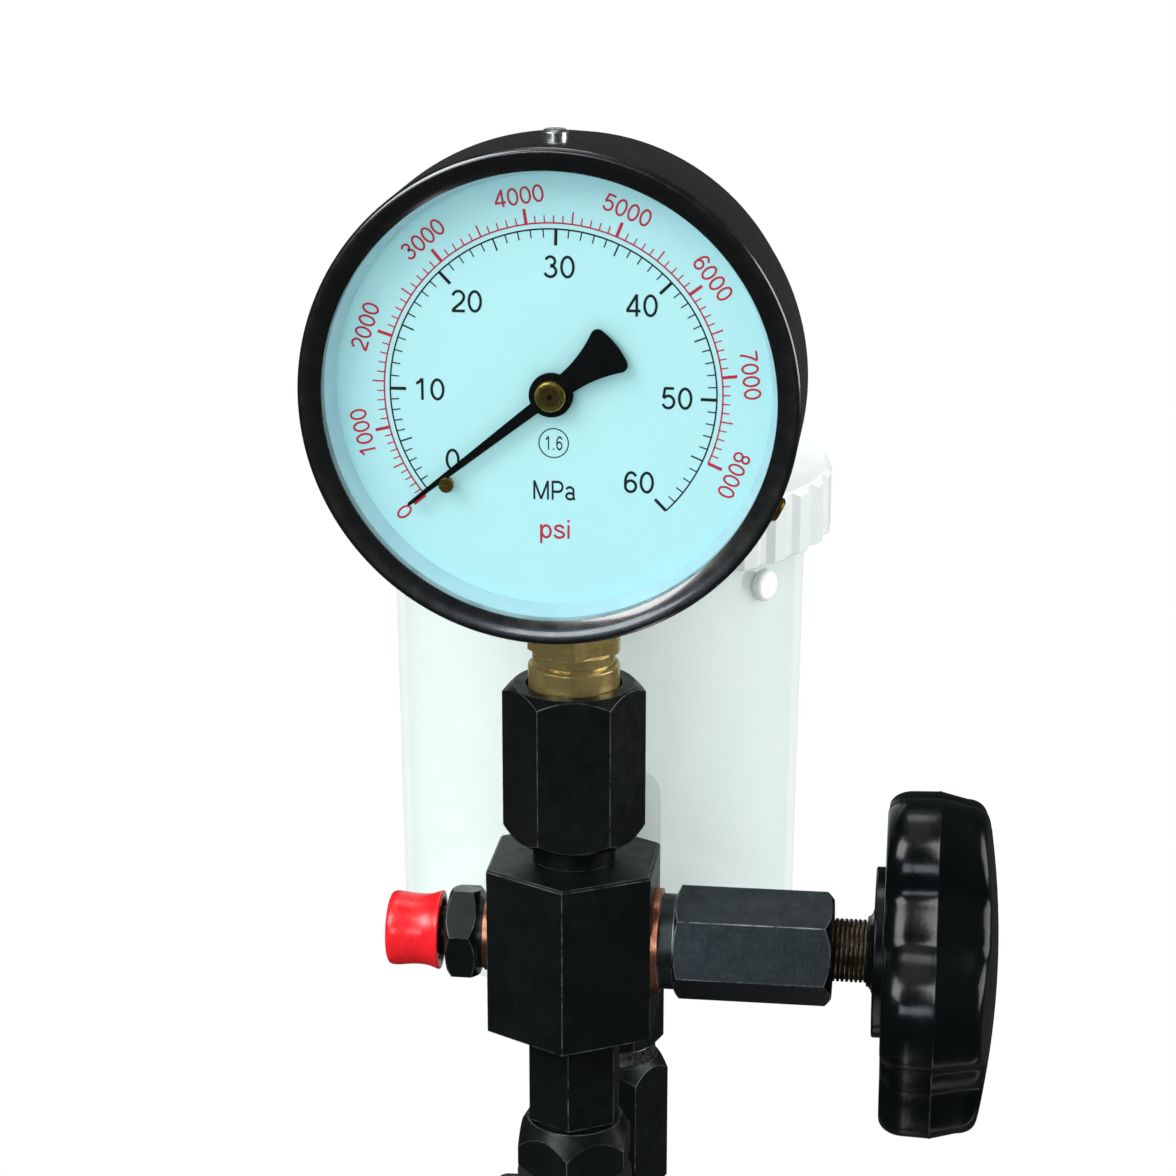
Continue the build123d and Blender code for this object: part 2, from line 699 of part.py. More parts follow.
def make_lock_nut():
    wide = NUT_AF / math.sqrt(3) + GAP
    outline = [(0, NUT_BOTTOM), (NUT_CONE_BOTTOM_R, NUT_BOTTOM), (wide, NUT_BOTTOM + NUT_CONE_BOTTOM_H)]
    outline += [(wide, NUT_TOP - NUT_CONE_TOP_H), (NUT_CONE_TOP_R, NUT_TOP), (0, NUT_TOP)]
    nut = hexagon(NUT_AF, NUT_BOTTOM, NUT_TOP) & turned(outline)
    return nut - cyl_z(THREAD_R, NUT_BOTTOM, NUT_TOP)


def make_cross_block():
    bottom = BLOCK_BOTTOM
    body = hexagon(BLOCK_AF, bottom, BLOCK_TOP)
    body = chamfer(body.faces().sort_by(Axis.Z)[-1].edges(), EDGE)
    body -= cyl_z(STUD_SPIGOT_R, bottom, bottom + STUD_SPIGOT_H)
    body -= cyl_z(ADAPTER_LOW_R, BLOCK_TOP - ADAPTER_LOW_H, BLOCK_TOP)
    body -= cyl_z(GALLERY_R, bottom, BLOCK_TOP)
    half = BLOCK_FACE
    body -= cyl_x(OUT_SPIGOT_R, -half, -half + OUT_SPIGOT_T, 0, PORT_Z)
    body -= cyl_x(VALVE_SPIGOT_R, half - VALVE_SPIGOT_T, half, 0, PORT_Z)
    return body - cyl_x(GALLERY_R, -half, half, 0, PORT_Z)


def make_neck_adapter():
    body = cyl_z(ADAPTER_R, BLOCK_TOP, ADAPTER_TOP)
    body = chamfer(body.edges().sort_by(Axis.Z)[-1], EDGE)
    body += cyl_z(ADAPTER_LOW_R, BLOCK_TOP - ADAPTER_LOW_H, BLOCK_TOP)
    body += cyl_z(ADAPTER_UP_R, ADAPTER_TOP, ADAPTER_TOP + ADAPTER_UP_H)
    return body - cyl_z(GALLERY_R, BLOCK_TOP - ADAPTER_LOW_H, ADAPTER_TOP + ADAPTER_UP_H)


def make_coupling():
    turn = FLAT_TURN_ANGLE + COUPLING_YAW_ANGLE
    cone = COUPLING_CONE_H
    body = cone_ends(COUPLING_AF, ADAPTER_TOP, COUPLING_TOP, COUPLING_END_R, cone, cone, turn)
    floor = COUPLING_TOP - COUNTERBORE_DEEP
    body -= cyl_z(COUNTERBORE_R, floor, COUPLING_TOP)
    body -= cyl_z(STEM_THREAD_R, floor - STEM_THREAD_DEEP, floor)
    body -= cyl_z(ADAPTER_UP_R, ADAPTER_TOP, ADAPTER_TOP + ADAPTER_UP_H)
    return body - cyl_z(GALLERY_R, ADAPTER_TOP, COUPLING_TOP)


def make_gauge_socket():
    floor = COUPLING_TOP - COUNTERBORE_DEEP
    body = cyl_z(STEM_THREAD_R, floor - STEM_THREAD_DEEP + GAP, STEM_FLANGE_BOTTOM)
    flange = cyl_z(STEM_FLANGE_R, STEM_FLANGE_BOTTOM, STEM_FLANGE_TOP)
    body += chamfer(flange.edges().sort_by(Axis.Z)[-1], EDGE)
    body += cyl_z(STEM_NECK_R, STEM_FLANGE_TOP, STEM_NECK_TOP)
    body += cyl_z(STEM_ROUND_R, STEM_NECK_TOP, STEM_ROUND_TOP)
    shank = Pos(0, 0, STEM_ROUND_TOP) * extrude(Rectangle(SHANK_AF, SHANK_AF), SHANK_TOP - STEM_ROUND_TOP)
    shank = Rot(0, 0, SHANK_YAW_ANGLE) * shank
    body += shank & cyl_z(SHANK_CORNER_R, STEM_ROUND_TOP, SHANK_TOP)
    step = SHANK_TOP + TUBE_BLOCK_STEP
    body += block(-TUBE_BLOCK_X, TUBE_BLOCK_X, -TUBE_BLOCK_FRONT, TUBE_BLOCK_REAR, step, TUBE_BLOCK_TOP)
    body += block(-TUBE_BLOCK_X, TUBE_BLOCK_X, -TUBE_BLOCK_FRONT, TUBE_BLOCK_LOW_REAR, SHANK_TOP, step)
    body -= cyl_y(BEZEL_SCREW_SHANK_R, CASE_SCREW_TIP, TUBE_BLOCK_REAR, 0, CASE_SCREW_Z)
    body -= tube_way()
    return body - cyl_z(GALLERY_R, floor - STEM_THREAD_DEEP, SHANK_TOP + GALLERY_R)


def turned_y(points):
    # one closed half-outline of (radius, depth) turned about the gauge's own axis
    outline = Polyline(*[(r, y, GAUGE_Z) for r, y in points], close=True)
    return revolve(make_face(outline), Axis((0, 0, GAUGE_Z), (0, 1, 0)), 360)


def tube_oval(shrink=0):
    # the flattened tube's cross-section, on the +X side of the gauge
    place = Plane.XY.offset(GAUGE_Z) * Pos(TUBE_R, 0)
    return place * Ellipse(TUBE_HALF_T - shrink, TUBE_HALF_W - shrink)


def about_gauge(angle, shape):
    # turned about the gauge's axis, clockwise as the dial is read
    return Pos(0, 0, GAUGE_Z) * Rot(0, angle, 0) * Pos(0, 0, -GAUGE_Z) * shape


def make_bourdon_tube():
    section = tube_oval() - tube_oval(TUBE_WALL)
    tube = revolve(section, Axis((0, 0, GAUGE_Z), (0, 1, 0)), TUBE_SWEEP_ANGLE)
    return about_gauge(TUBE_START_ANGLE, tube)


def tube_way():
    # the hole in the socket's head that the tube is brazed into
    way = revolve(tube_oval(), Axis((0, 0, GAUGE_Z), (0, 1, 0)), TUBE_SWEEP_ANGLE)
    return about_gauge(TUBE_START_ANGLE, way)


def tip_place():
    # where the tube ends, as an angle clockwise from the top, and its place
    a = math.radians(TUBE_START_ANGLE + TUBE_SWEEP_ANGLE)
    return TUBE_R * math.cos(a), GAUGE_Z - TUBE_R * math.sin(a)


def tail_place():
    # the sector's tail pin, at rest
    a = math.radians(SECTOR_TAIL_ANGLE)
    px, pz = sector_pivot()
    return px + SECTOR_TAIL_R * math.cos(a), pz - SECTOR_TAIL_R * math.sin(a)


def sector_pivot():
    return 0, GAUGE_Z - MODULE * (PINION_TEETH + SECTOR_TEETH_FULL) / 2


def bar_between(x0, z0, x1, z1, half, y0, y1):
    # a flat bar with round ends between two places, seen from the front
    length = math.hypot(x1 - x0, z1 - z0)
    turn = math.degrees(math.atan2(z1 - z0, x1 - x0))
    flat = Pos(length / 2, 0, 0) * Box(length, abs(y1 - y0), 2 * half)
    bar = Pos(x0, (y0 + y1) / 2, z0) * Rot(0, -turn, 0) * flat
    return bar + cyl_y(half, y0, y1, x0, z0) + cyl_y(half, y0, y1, x1, z1)


def make_link():
    tail_x, tail_z = tail_place()
    tip_x, tip_z = tip_place()
    near = GEAR_Y + GEAR_T / 2 + GAP
    plate = bar_between(tail_x, tail_z, tip_x, tip_z, LINK_HALF, near, near + LINK_T)
    way = SECTOR_PIN_R + LINK_RUN
    for x in (tail_x, tail_x + LINK_SLOT):
        plate -= cyl_y(way, near, near + LINK_T, x, tail_z)
    plate -= block(tail_x, tail_x + LINK_SLOT, near, near + LINK_T, tail_z - way, tail_z + way)
    arm = cyl_y(LINK_HALF, near, -TUBE_HALF_W - TUBE_WALL, tip_x, tip_z)
    return plate + arm + tube_end()


def tube_end():
    # the sleeve over the tube's free end
    axis = Axis((0, 0, GAUGE_Z), (0, 1, 0))
    ring = revolve(tube_oval(-TUBE_WALL - FIT), axis, TIP_BACK_ANGLE + TIP_AHEAD_ANGLE)
    ring = about_gauge(TUBE_START_ANGLE + TUBE_SWEEP_ANGLE - TIP_BACK_ANGLE, ring)
    way = revolve(tube_oval(-FIT), Axis((0, 0, GAUGE_Z), (0, 1, 0)), TIP_BACK_ANGLE)
    return ring - about_gauge(TUBE_START_ANGLE + TUBE_SWEEP_ANGLE - TIP_BACK_ANGLE, way)


def involute(angle):
    return math.tan(angle) - angle


def tooth(teeth, centre, play):
    # one involute tooth as points, its middle at the given angle from +X
    pitch = MODULE * teeth / 2
    pressure = math.radians(TOOTH_PRESSURE_ANGLE)
    base = pitch * math.cos(pressure)
    tip = pitch + MODULE
    root = pitch - DEDENDUM_SHARE * MODULE
    half = math.pi / 2 / teeth - play / pitch + involute(pressure)
    heights = [max(base, root), (base + pitch) / 2, pitch, (pitch + tip) / 2, tip]
    flank = [(root, half)] + [(r, half - involute(math.acos(min(1, base / r)))) for r in heights]
    left = [(r * math.cos(centre - h), r * math.sin(centre - h)) for r, h in flank]
    right = [(r * math.cos(centre + h), r * math.sin(centre + h)) for r, h in reversed(flank)]
    return left + right


def upright_face(points, x, z):
    # a flat outline standing in the gauge's own plane, at the gear's depth
    place = Plane(origin=(x, GEAR_Y + GEAR_T / 2, z), x_dir=(1, 0, 0), z_dir=(0, -1, 0))
    return extrude(place * make_face(Polyline(*points, close=True)), GEAR_T)


def make_pinion_arbor():
    points = []
    for i in range(PINION_TEETH):
        points += tooth(PINION_TEETH, -math.pi / 2 + 2 * math.pi * i / PINION_TEETH, TOOTH_PLAY)
    gear = upright_face(points, 0, GAUGE_Z)
    return gear + cyl_y(ARBOR_R, POINTER_Y, ARBOR_REAR, 0, GAUGE_Z) + arbor_head()


def make_sector():
    step = 2 * math.pi / SECTOR_TEETH_FULL
    middle = math.pi / 2 - SECTOR_REST_TEETH * step
    half = (SECTOR_TEETH - 1) / 2
    points = [(0, 0)]
    for i in range(SECTOR_TEETH):
        points += tooth(SECTOR_TEETH_FULL, middle + (i - half) * step, TOOTH_PLAY)
    x, z = sector_pivot()
    tail_x, tail_z = tail_place()
    fan = upright_face(points, x, z)
    back = GEAR_Y + GEAR_T / 2
    front = GEAR_Y - GEAR_T / 2
    fan += cyl_y(SECTOR_HUB_R, front, back, x, z)
    fan += cyl_y(ARBOR_R, PLATE_FRONT_Y - MOVE_PLATE_T, PLATE_BACK_Y + MOVE_PLATE_T, x, z)
    fan += bar_between(x, z, tail_x, tail_z, SECTOR_TAIL_HALF, front, back)
    return fan + cyl_y(SECTOR_PIN_R, back, back + LINK_T + 2 * GAP, tail_x, tail_z)


def make_movement():
    low = GAUGE_Z - MOVE_PLATE_BELOW
    high = GAUGE_Z + MOVE_PLATE_ABOVE
    half = MOVE_PLATE_HALF
    plates = block(-half, half, PLATE_BACK_Y, PLATE_BACK_Y + MOVE_PLATE_T, low - MOVE_PLATE_T, high)
    plates += block(-half, half, PLATE_FRONT_Y - MOVE_PLATE_T, PLATE_FRONT_Y, low, high)
    for x in (-POST_X, POST_X):
        plates += cyl_y(POST_R, PLATE_FRONT_Y, PLATE_BACK_Y, x, high - 2 * POST_R)
    plates += cyl_y(POST_R, PLATE_FRONT_Y, PLATE_BACK_Y, -POST_X, low + 2 * POST_R)
    foot = SHANK_TOP + GAP
    plates += block(-MOVE_FOOT_X, MOVE_FOOT_X, PLATE_BACK_Y, PLATE_BACK_Y + MOVE_PLATE_T, foot, low)
    plates += block(-MOVE_FOOT_X, MOVE_FOOT_X, PLATE_BACK_Y, -TUBE_BLOCK_FRONT, foot, foot + MOVE_FOOT_H)
    x, z = sector_pivot()
    plates -= cyl_y(ARBOR_R + ARBOR_RUN, PLATE_FRONT_Y - MOVE_PLATE_T, PLATE_BACK_Y + MOVE_PLATE_T, x, z)
    near = PLATE_FRONT_Y - MOVE_PLATE_T
    return plates - cyl_y(ARBOR_R + ARBOR_RUN, near, PLATE_BACK_Y + MOVE_PLATE_T, 0, GAUGE_Z)


def case_outline(radius, front, back, edge):
    # the drum's outer line with its round back corner
    steps = CASE_EDGE_STEPS
    arc = [math.radians(90 * i / steps) for i in range(steps + 1)]
    bend = [(radius - edge + edge * math.cos(a), back - edge + edge * math.sin(a)) for a in arc]
    return [(0, front), (radius, front)] + bend + [(0, back)]


def screw_way(radius, near, far, angle):
    # a round bar pointing outward from the gauge's axis at a dial angle
    return about_gauge(angle, cyl_z(radius, GAUGE_Z + near, GAUGE_Z + far, 0, BEZEL_SCREW_Y))


def make_case():
    shell = turned_y(case_outline(CASE_R, CASE_FRONT, CASE_BACK, CASE_BACK_EDGE))
    inner = CASE_IN_R
    shell -= turned_y(case_outline(inner, CASE_FRONT, CASE_BACK - CASE_WALL, CASE_BACK_EDGE - CASE_WALL))
    root = inner + FIT
    lip = DIAL_R - LEDGE_IN
    shell += turned_y([(lip, LEDGE_Y), (root, LEDGE_Y), (root, LEDGE_Y + LEDGE_T), (lip, LEDGE_Y + LEDGE_T)])
    shell -= cyl_z(CASE_HOLE_R, GAUGE_Z - CASE_R - CASE_WALL, SHANK_TOP - GAP)
    for angle in BEZEL_SCREW_ANGLES:
        shell -= screw_way(BEZEL_SCREW_SHANK_R, inner - CASE_WALL, CASE_R + CASE_WALL, angle)
    return shell - cyl_y(BEZEL_SCREW_SHANK_R, CASE_BACK - CASE_WALL, CASE_BACK, 0, CASE_SCREW_Z)


def make_bezel():
    e = BEZEL_EDGE
    outline = [(BEZEL_IN_R, BEZEL_REAR), (BEZEL_R, BEZEL_REAR), (BEZEL_R, BEZEL_FRONT + e)]
    outline += [(BEZEL_R - BEZEL_BEND, BEZEL_FRONT + BEZEL_BEND), (BEZEL_R - e, BEZEL_FRONT)]
    outline += [(BEZEL_OPENING_R, BEZEL_FRONT)]
    outline += [(BEZEL_OPENING_R, GLASS_FRONT), (BEZEL_IN_R, GLASS_FRONT)]
    ring = turned_y(outline)
    for angle in BEZEL_SCREW_ANGLES:
        ring -= screw_way(BEZEL_SCREW_SHANK_R, CASE_R - CASE_WALL, BEZEL_R, angle)
        ring -= screw_way(BEZEL_SCREW_R + GAP, BEZEL_R - EDGE, BEZEL_R + BEZEL_SCREW_HEAD, angle)
    return ring


def make_bezel_screw(angle):
    seat = BEZEL_R - EDGE
    top = seat + BEZEL_SCREW_HEAD
    head = cyl_z(BEZEL_SCREW_R, GAUGE_Z + seat, GAUGE_Z + top, 0, BEZEL_SCREW_Y)
    head = chamfer(head.edges().sort_by(Axis.Z)[-1], EDGE)
    head += cyl_z(BEZEL_SCREW_SHANK_R, GAUGE_Z + CASE_R - CASE_WALL, GAUGE_Z + seat, 0, BEZEL_SCREW_Y)
    half = BEZEL_SCREW_SLOT / 2
    low = GAUGE_Z + top - BEZEL_SCREW_SLOT
    wide = BEZEL_SCREW_R
    head -= block(-wide, wide, BEZEL_SCREW_Y - half, BEZEL_SCREW_Y + half, low, GAUGE_Z + top)
    return about_gauge(angle, head)


def make_case_screw():
    head = cyl_y(BEZEL_SCREW_R, CASE_BACK, CASE_BACK + BEZEL_SCREW_HEAD, 0, CASE_SCREW_Z)
    shank = cyl_y(BEZEL_SCREW_SHANK_R, CASE_SCREW_TIP, CASE_BACK, 0, CASE_SCREW_Z)
    return head + shank


def make_glass():
    return cyl_y(GLASS_R, GLASS_FRONT, GLASS_BACK, 0, GAUGE_Z)


def make_gasket():
    # a soft ring behind the glass, with a skirt that holds the dial down
    inner = SKIRT_IN_R
    flat = [(inner, GLASS_BACK), (GLASS_R, GLASS_BACK), (GLASS_R, CASE_FRONT), (inner, CASE_FRONT)]
    skirt = [(inner, CASE_FRONT), (DIAL_R, CASE_FRONT), (DIAL_R, DIAL_FRONT), (inner, DIAL_FRONT)]
    return turned_y(flat) + turned_y(skirt)


def make_dial():
    disc = cyl_y(DIAL_R, DIAL_FRONT, DIAL_FRONT + DIAL_T, 0, GAUGE_Z)
    disc -= cyl_y(DIAL_HOLE_R, DIAL_FRONT, DIAL_FRONT + DIAL_T, 0, GAUGE_Z)
    x, z = on_dial(STOP_ANGLE, STOP_RADIUS)
    return disc - cyl_y(STOP_R, DIAL_FRONT, DIAL_FRONT + DIAL_T, x, z)


def make_stop_pin():
    x, z = on_dial(STOP_ANGLE, STOP_RADIUS)
    pin = cyl_y(STOP_R, STOP_FRONT, DIAL_FRONT + DIAL_T, x, z)
    return pin + cyl_y(STOP_HEAD_R, STOP_FRONT, STOP_FRONT + STOP_HEAD_T, x, z)


def make_pointer():
    # drawn pointing up, then turned to where it rests
    tip = POINTER_TIP_R
    root = POINTER_COLLAR_R
    needle = Polyline((-POINTER_WAIST_HALF, 0), (-POINTER_END_HALF, tip - POINTER_POINT), (0, tip),
                      (POINTER_END_HALF, tip - POINTER_POINT), (POINTER_WAIST_HALF, 0), close=True)
    a = math.radians(POINTER_TAIL_ANGLE)
    out = POINTER_TAIL_R
    corner = (out * math.sin(a), -out * math.cos(a))
    waist = POINTER_ROOT_HALF + POINTER_ROOT_BULGE
    left = ThreePointArc((-POINTER_ROOT_HALF, 0), (-waist, -out / 2), (-corner[0], corner[1]))
    end = ThreePointArc((-corner[0], corner[1]), (0, -out), corner)
    right = ThreePointArc(corner, (waist, -out / 2), (POINTER_ROOT_HALF, 0))
    base = Line((POINTER_ROOT_HALF, 0), (-POINTER_ROOT_HALF, 0))
    place = Plane(origin=(0, POINTER_Y + POINTER_T, GAUGE_Z), x_dir=(1, 0, 0), z_dir=(0, -1, 0))
    tail = make_face(left + end + right + base)
    tail = fillet(tail.vertices().sort_by(Axis.Y)[:2], POINTER_TAIL_ROUND)
    hand = extrude(place * make_face(needle), POINTER_T) + extrude(place * tail, POINTER_T)
    hand += cyl_y(root, POINTER_Y, POINTER_Y + 2 * POINTER_T, 0, GAUGE_Z)
    hand -= cyl_y(ARBOR_R, POINTER_Y, POINTER_Y + 2 * POINTER_T, 0, GAUGE_Z)
    return about_gauge(POINTER_REST_ANGLE, hand)


def arbor_head():
    # the brass head that holds the pointer on
    cap = cyl_y(CAP_R, POINTER_Y - CAP_T, POINTER_Y, 0, GAUGE_Z)
    return fillet(cap.edges().sort_by(Axis.Y)[0], EDGE)


def out_ring(radius, near, far):
    # a round of the left outlet, distances outward from the block's face
    face = -BLOCK_FACE
    return cyl_x(radius, face - near, face - far, 0, PORT_Z)


def make_outlet_washer():
    return out_ring(OUT_WASHER_R, 0, OUT_WASHER_T) - out_ring(OUT_SPIGOT_R, 0, OUT_WASHER_T)


def make_outlet_union():
    a = OUT_WASHER_T
    b = a + OUT_COLLAR_T
    c = b + OUT_HEX_T
    d = c + OUT_NECK_T
    e = d + OUT_THREAD_T
    body = out_ring(OUT_SPIGOT_R, -OUT_SPIGOT_T + GAP, a) + out_ring(OUT_COLLAR_R, a, b)
    turn = FLAT_TURN_ANGLE + OUT_HEX_ANGLE
    nut = cone_ends(OUT_AF, b, c, OUT_HEX_END_R, OUT_HEX_CONE, OUT_HEX_CONE, turn)
    body += Pos(-BLOCK_FACE, 0, PORT_Z) * Rot(0, -90, 0) * nut
    body += out_ring(OUT_NECK_R, c, d)
    body += chamfer(out_ring(OUT_THREAD_R, d, e).edges().sort_by(Axis.X)[0], EDGE)
    cone = Cone(GALLERY_R, OUT_CONE_R, OUT_CONE_DEEP)
    body -= Pos(-BLOCK_FACE - e + OUT_CONE_DEEP / 2, 0, PORT_Z) * Rot(0, -90, 0) * cone
    return body - out_ring(GALLERY_R, -OUT_SPIGOT_T, e)


def make_outlet_cap():
    # a soft cup pushed over the outlet's thread
    end = BLOCK_FACE + OUT_WASHER_T + OUT_COLLAR_T + OUT_HEX_T + OUT_NECK_T + OUT_THREAD_T
    top = end + SOFT_TOP_T
    mouth = top - SOFT_LEN
    inner = OUT_THREAD_R + SOFT_RUN
    outer = inner + SOFT_WALL
    outline = [(inner, mouth), (outer + SOFT_RIM, mouth), (outer + SOFT_RIM, mouth + SOFT_RIM_T / 2)]
    outline += [(outer, mouth + SOFT_RIM_T), (outer - SOFT_TAPER, top - EDGE)]
    outline += [(outer - SOFT_TAPER - EDGE, top)]
    outline += [(0, top), (0, end), (inner, end)]
    cup = turned(outline)
    for share in SOFT_RIDGE_SHARES:
        height = mouth + SOFT_LEN * share
        cup += Pos(0, 0, height) * Torus(outer - SOFT_TAPER * share, SOFT_RIDGE_R)
    return Pos(0, 0, PORT_Z) * Rot(0, -90, 0) * cup


def make_valve_washer():
    ring = cyl_x(VALVE_WASHER_R, BLOCK_FACE, VALVE_SEAT_X, 0, PORT_Z)
    return ring - cyl_x(VALVE_SPIGOT_R, BLOCK_FACE, VALVE_SEAT_X, 0, PORT_Z)


def make_valve_body():
    body = cyl_x(VALVE_SPIGOT_R, VALVE_START, VALVE_SEAT_X, 0, PORT_Z)
    body += cyl_x(VALVE_COLLAR_R, VALVE_SEAT_X, VALVE_HEX_X, 0, PORT_Z)
    turn = FLAT_TURN_ANGLE - VALVE_HEX_ANGLE
    nut = cone_ends(VALVE_AF, VALVE_HEX_X, VALVE_HEX_END, VALVE_END_R, VALVE_CONE, VALVE_BACK_CONE, turn)
    body += Pos(0, 0, PORT_Z) * Rot(0, 90, 0) * nut
    body -= cyl_x(SPINDLE_R + FIT, SPINDLE_BORE_END, VALVE_HEX_END, 0, PORT_Z)
    body -= cyl_x(NEEDLE_R + NEEDLE_RUN, SEAT_HOLE_X, SPINDLE_BORE_END, 0, PORT_Z)
    return body - cyl_x(GALLERY_R, VALVE_START, SEAT_HOLE_X, 0, PORT_Z)


def make_spindle():
    body = cyl_x(SPINDLE_R, SPINDLE_START, SPINDLE_END, 0, PORT_Z)
    body += cyl_x(KNOB_STUD_R, SPINDLE_END, SPINDLE_END + KNOB_STUD_DEEP, 0, PORT_Z)
    tail = SPINDLE_START + NEEDLE_TAIL_T + GAP
    return body - cyl_x(NEEDLE_TAIL_R + NEEDLE_RUN, SPINDLE_START, tail, 0, PORT_Z)


def make_needle():
    # it doesn't turn: the spindle turns on its tail and carries it in and out
    body = cyl_x(NEEDLE_R, NEEDLE_TIP_X + NEEDLE_CONE, SPINDLE_START, 0, PORT_Z)
    body += cyl_x(NEEDLE_TAIL_R, SPINDLE_START, SPINDLE_START + NEEDLE_TAIL_T, 0, PORT_Z)
    cone = Cone(0, NEEDLE_R, NEEDLE_CONE)
    return body + Pos(NEEDLE_TIP_X + NEEDLE_CONE / 2, 0, PORT_Z) * Rot(0, 90, 0) * cone


def make_knob():
    star = Circle(KNOB_CORE_R)
    for i in range(KNOB_LOBES):
        a = math.radians(-90 + 360 * i / KNOB_LOBES)
        star += Pos(KNOB_LOBE_AT * math.cos(a), KNOB_LOBE_AT * math.sin(a)) * Circle(KNOB_LOBE_R)
    star = fillet(star.vertices(), KNOB_VALLEY_R)
    body = extrude(star, KNOB_T)
    reach = KNOB_LOBE_AT + KNOB_LOBE_R + EDGE
    rim = KNOB_T - KNOB_DOME
    side = Polyline((reach, 0, rim), (reach, 0, 0), (0, 0, 0), (0, 0, KNOB_T))
    crown = ThreePointArc((0, 0, KNOB_T), (reach / 2, 0, KNOB_T - KNOB_DOME_MID), (reach, 0, rim))
    body &= revolve(make_face(side + crown), Axis.Z, 360)
    body = fillet(body.faces().sort_by(Axis.Z)[-1].edges(), KNOB_EDGE)
    body = fillet(body.faces().sort_by(Axis.Z)[0].edges(), KNOB_REAR_EDGE)
    body += cyl_z(KNOB_BOSS_R, -KNOB_BOSS_T, 0) + knob_flare()
    body -= cyl_z(KNOB_STUD_R, -KNOB_BOSS_T, KNOB_STUD_DEEP - KNOB_BOSS_T)
    return Pos(KNOB_NEAR, 0, PORT_Z) * Rot(0, 90, 0) * body


def knob_flare():
    # the boss runs out along the spindle in a hollow curve
    near = -KNOB_BOSS_T - KNOB_FLARE_T
    wide = KNOB_FLARE_R - KNOB_FLARE_TIP_R
    outline = [(0, near)]
    for along_share, out_share in KNOB_FLARE_SHARES:
        outline.append((KNOB_FLARE_TIP_R + wide * out_share, near + KNOB_FLARE_T * along_share))
    outline.append((0, -KNOB_BOSS_T))
    return turned(outline) - cyl_z(SPINDLE_R + FIT, near, -KNOB_BOSS_T)


def tank_radius(z):
    share = (z - TANK_BOTTOM) / (TANK_TOP - TANK_BOTTOM)
    return TANK_R_LOW + (TANK_R_TOP - TANK_R_LOW) * share


def make_tank():
    e = TANK_EDGE
    w = TANK_WALL
    low = TANK_BOTTOM
    top = TANK_TOP
    steps = TANK_EDGE_STEPS
    arc = [math.radians(90 * i / steps) for i in range(steps + 1)]
    outer = [(TANK_R_LOW - e + e * math.sin(a), low + e - e * math.cos(a)) for a in arc]
    inner = [(TANK_R_LOW - e + (e - w) * math.sin(a), low + e - (e - w) * math.cos(a)) for a in arc]
    under = top - TANK_BEAD_H
    bead = [(tank_radius(under - TANK_BEAD), under - TANK_BEAD), (TANK_BEAD_R, under)]
    bead += [(TANK_BEAD_R, top), (TANK_R_TOP - w, top)]
    body = turned([(0, low)] + outer + bead + inner[::-1] + [(0, low + w)])
    body = Pos(TANK_X, TANK_Y, 0) * body
    body += cyl_z(TANK_BOSS_R, TANK_BOSS_BOTTOM, low + w / 2, 0, TANK_Y)
    body -= cyl_z(FITTING_SPIGOT_R, TANK_BOSS_BOTTOM, low + w, 0, TANK_Y)
    return body - at_vent(cyl_x(VENT_SHANK_R, tank_radius(VENT_Z) - VENT_SHANK_IN, tank_radius(VENT_Z) + w))


def at_vent(shape):
    return Pos(TANK_X, TANK_Y, VENT_Z) * Rot(0, 0, VENT_ANGLE) * shape


def make_vent_plug():
    wall = tank_radius(VENT_Z)
    high = VENT_Z + VENT_R
    head = cyl_x(VENT_R, wall - VENT_SEAT, wall + VENT_OUT)
    head = fillet(head.edges().sort_by(Axis.X)[-1], VENT_OUT / 2)
    shell = Pos(TANK_X, TANK_Y, 0) * cyl_z(tank_radius(high), VENT_Z - VENT_R, high)
    return at_vent(head) - shell + at_vent(cyl_x(VENT_SHANK_R, wall - VENT_SHANK_IN, wall + VENT_OUT / 2))


def make_tank_lid():
    points = []
    for i in range(LID_RIBS):
        for share, raised in LID_RIB_SHARES:
            a = 2 * math.pi * (i + share) / LID_RIBS
            radius = LID_R - LID_RIB * (1 - raised)
            points.append((radius * math.cos(a), radius * math.sin(a)))
    drum = Pos(0, 0, LID_BOTTOM) * extrude(make_face(Polyline(*points, close=True)), LID_H)
    e = LID_EDGE
    outline = [(0, LID_BOTTOM), (LID_R + e, LID_BOTTOM), (LID_R + e, LID_TOP - 2 * e), (LID_R - e, LID_TOP)]
    drum &= turned(outline + [(0, LID_TOP)])
    drum -= cyl_z(TANK_BEAD_R + LID_RUN, LID_BOTTOM, TANK_TOP)
    return Pos(TANK_X, TANK_Y, 0) * drum


def at_stack(shape):
    return Pos(0, TANK_Y, 0) * shape


def make_tank_fitting():
    cone = FITTING_CONE
    turn = FLAT_TURN_ANGLE
    body = cone_ends(FITTING_AF, FITTING_BOTTOM, FITTING_TOP, FITTING_END_R, cone, cone, turn)
    body += cyl_z(FITTING_SPIGOT_R, FITTING_TOP, FITTING_TOP + FITTING_SPIGOT_UP)
    body += cyl_z(FITTING_LOW_R, FITTING_LOW_Z, FITTING_BOTTOM)
    return at_stack(body - cyl_z(FUEL_R, FITTING_LOW_Z, FITTING_TOP + FITTING_SPIGOT_UP))


def make_tank_nut():
    floor = TANK_FLOOR
    nut = hexagon(TANK_NUT_AF, floor, floor + TANK_NUT_T)
    return at_stack(nut - cyl_z(FITTING_SPIGOT_R, floor, floor + TANK_NUT_T))


def make_tank_filter():
    floor = TANK_FLOOR + TANK_NUT_T
    top = floor + FILTER_H
    cup = cyl_z(FILTER_R, floor, top)
    cup = fillet(cup.edges().sort_by(Axis.Z)[-1], FILTER_EDGE)
    return at_stack(cup - cyl_z(FITTING_SPIGOT_R + FIT, floor, top - FILTER_WALL))


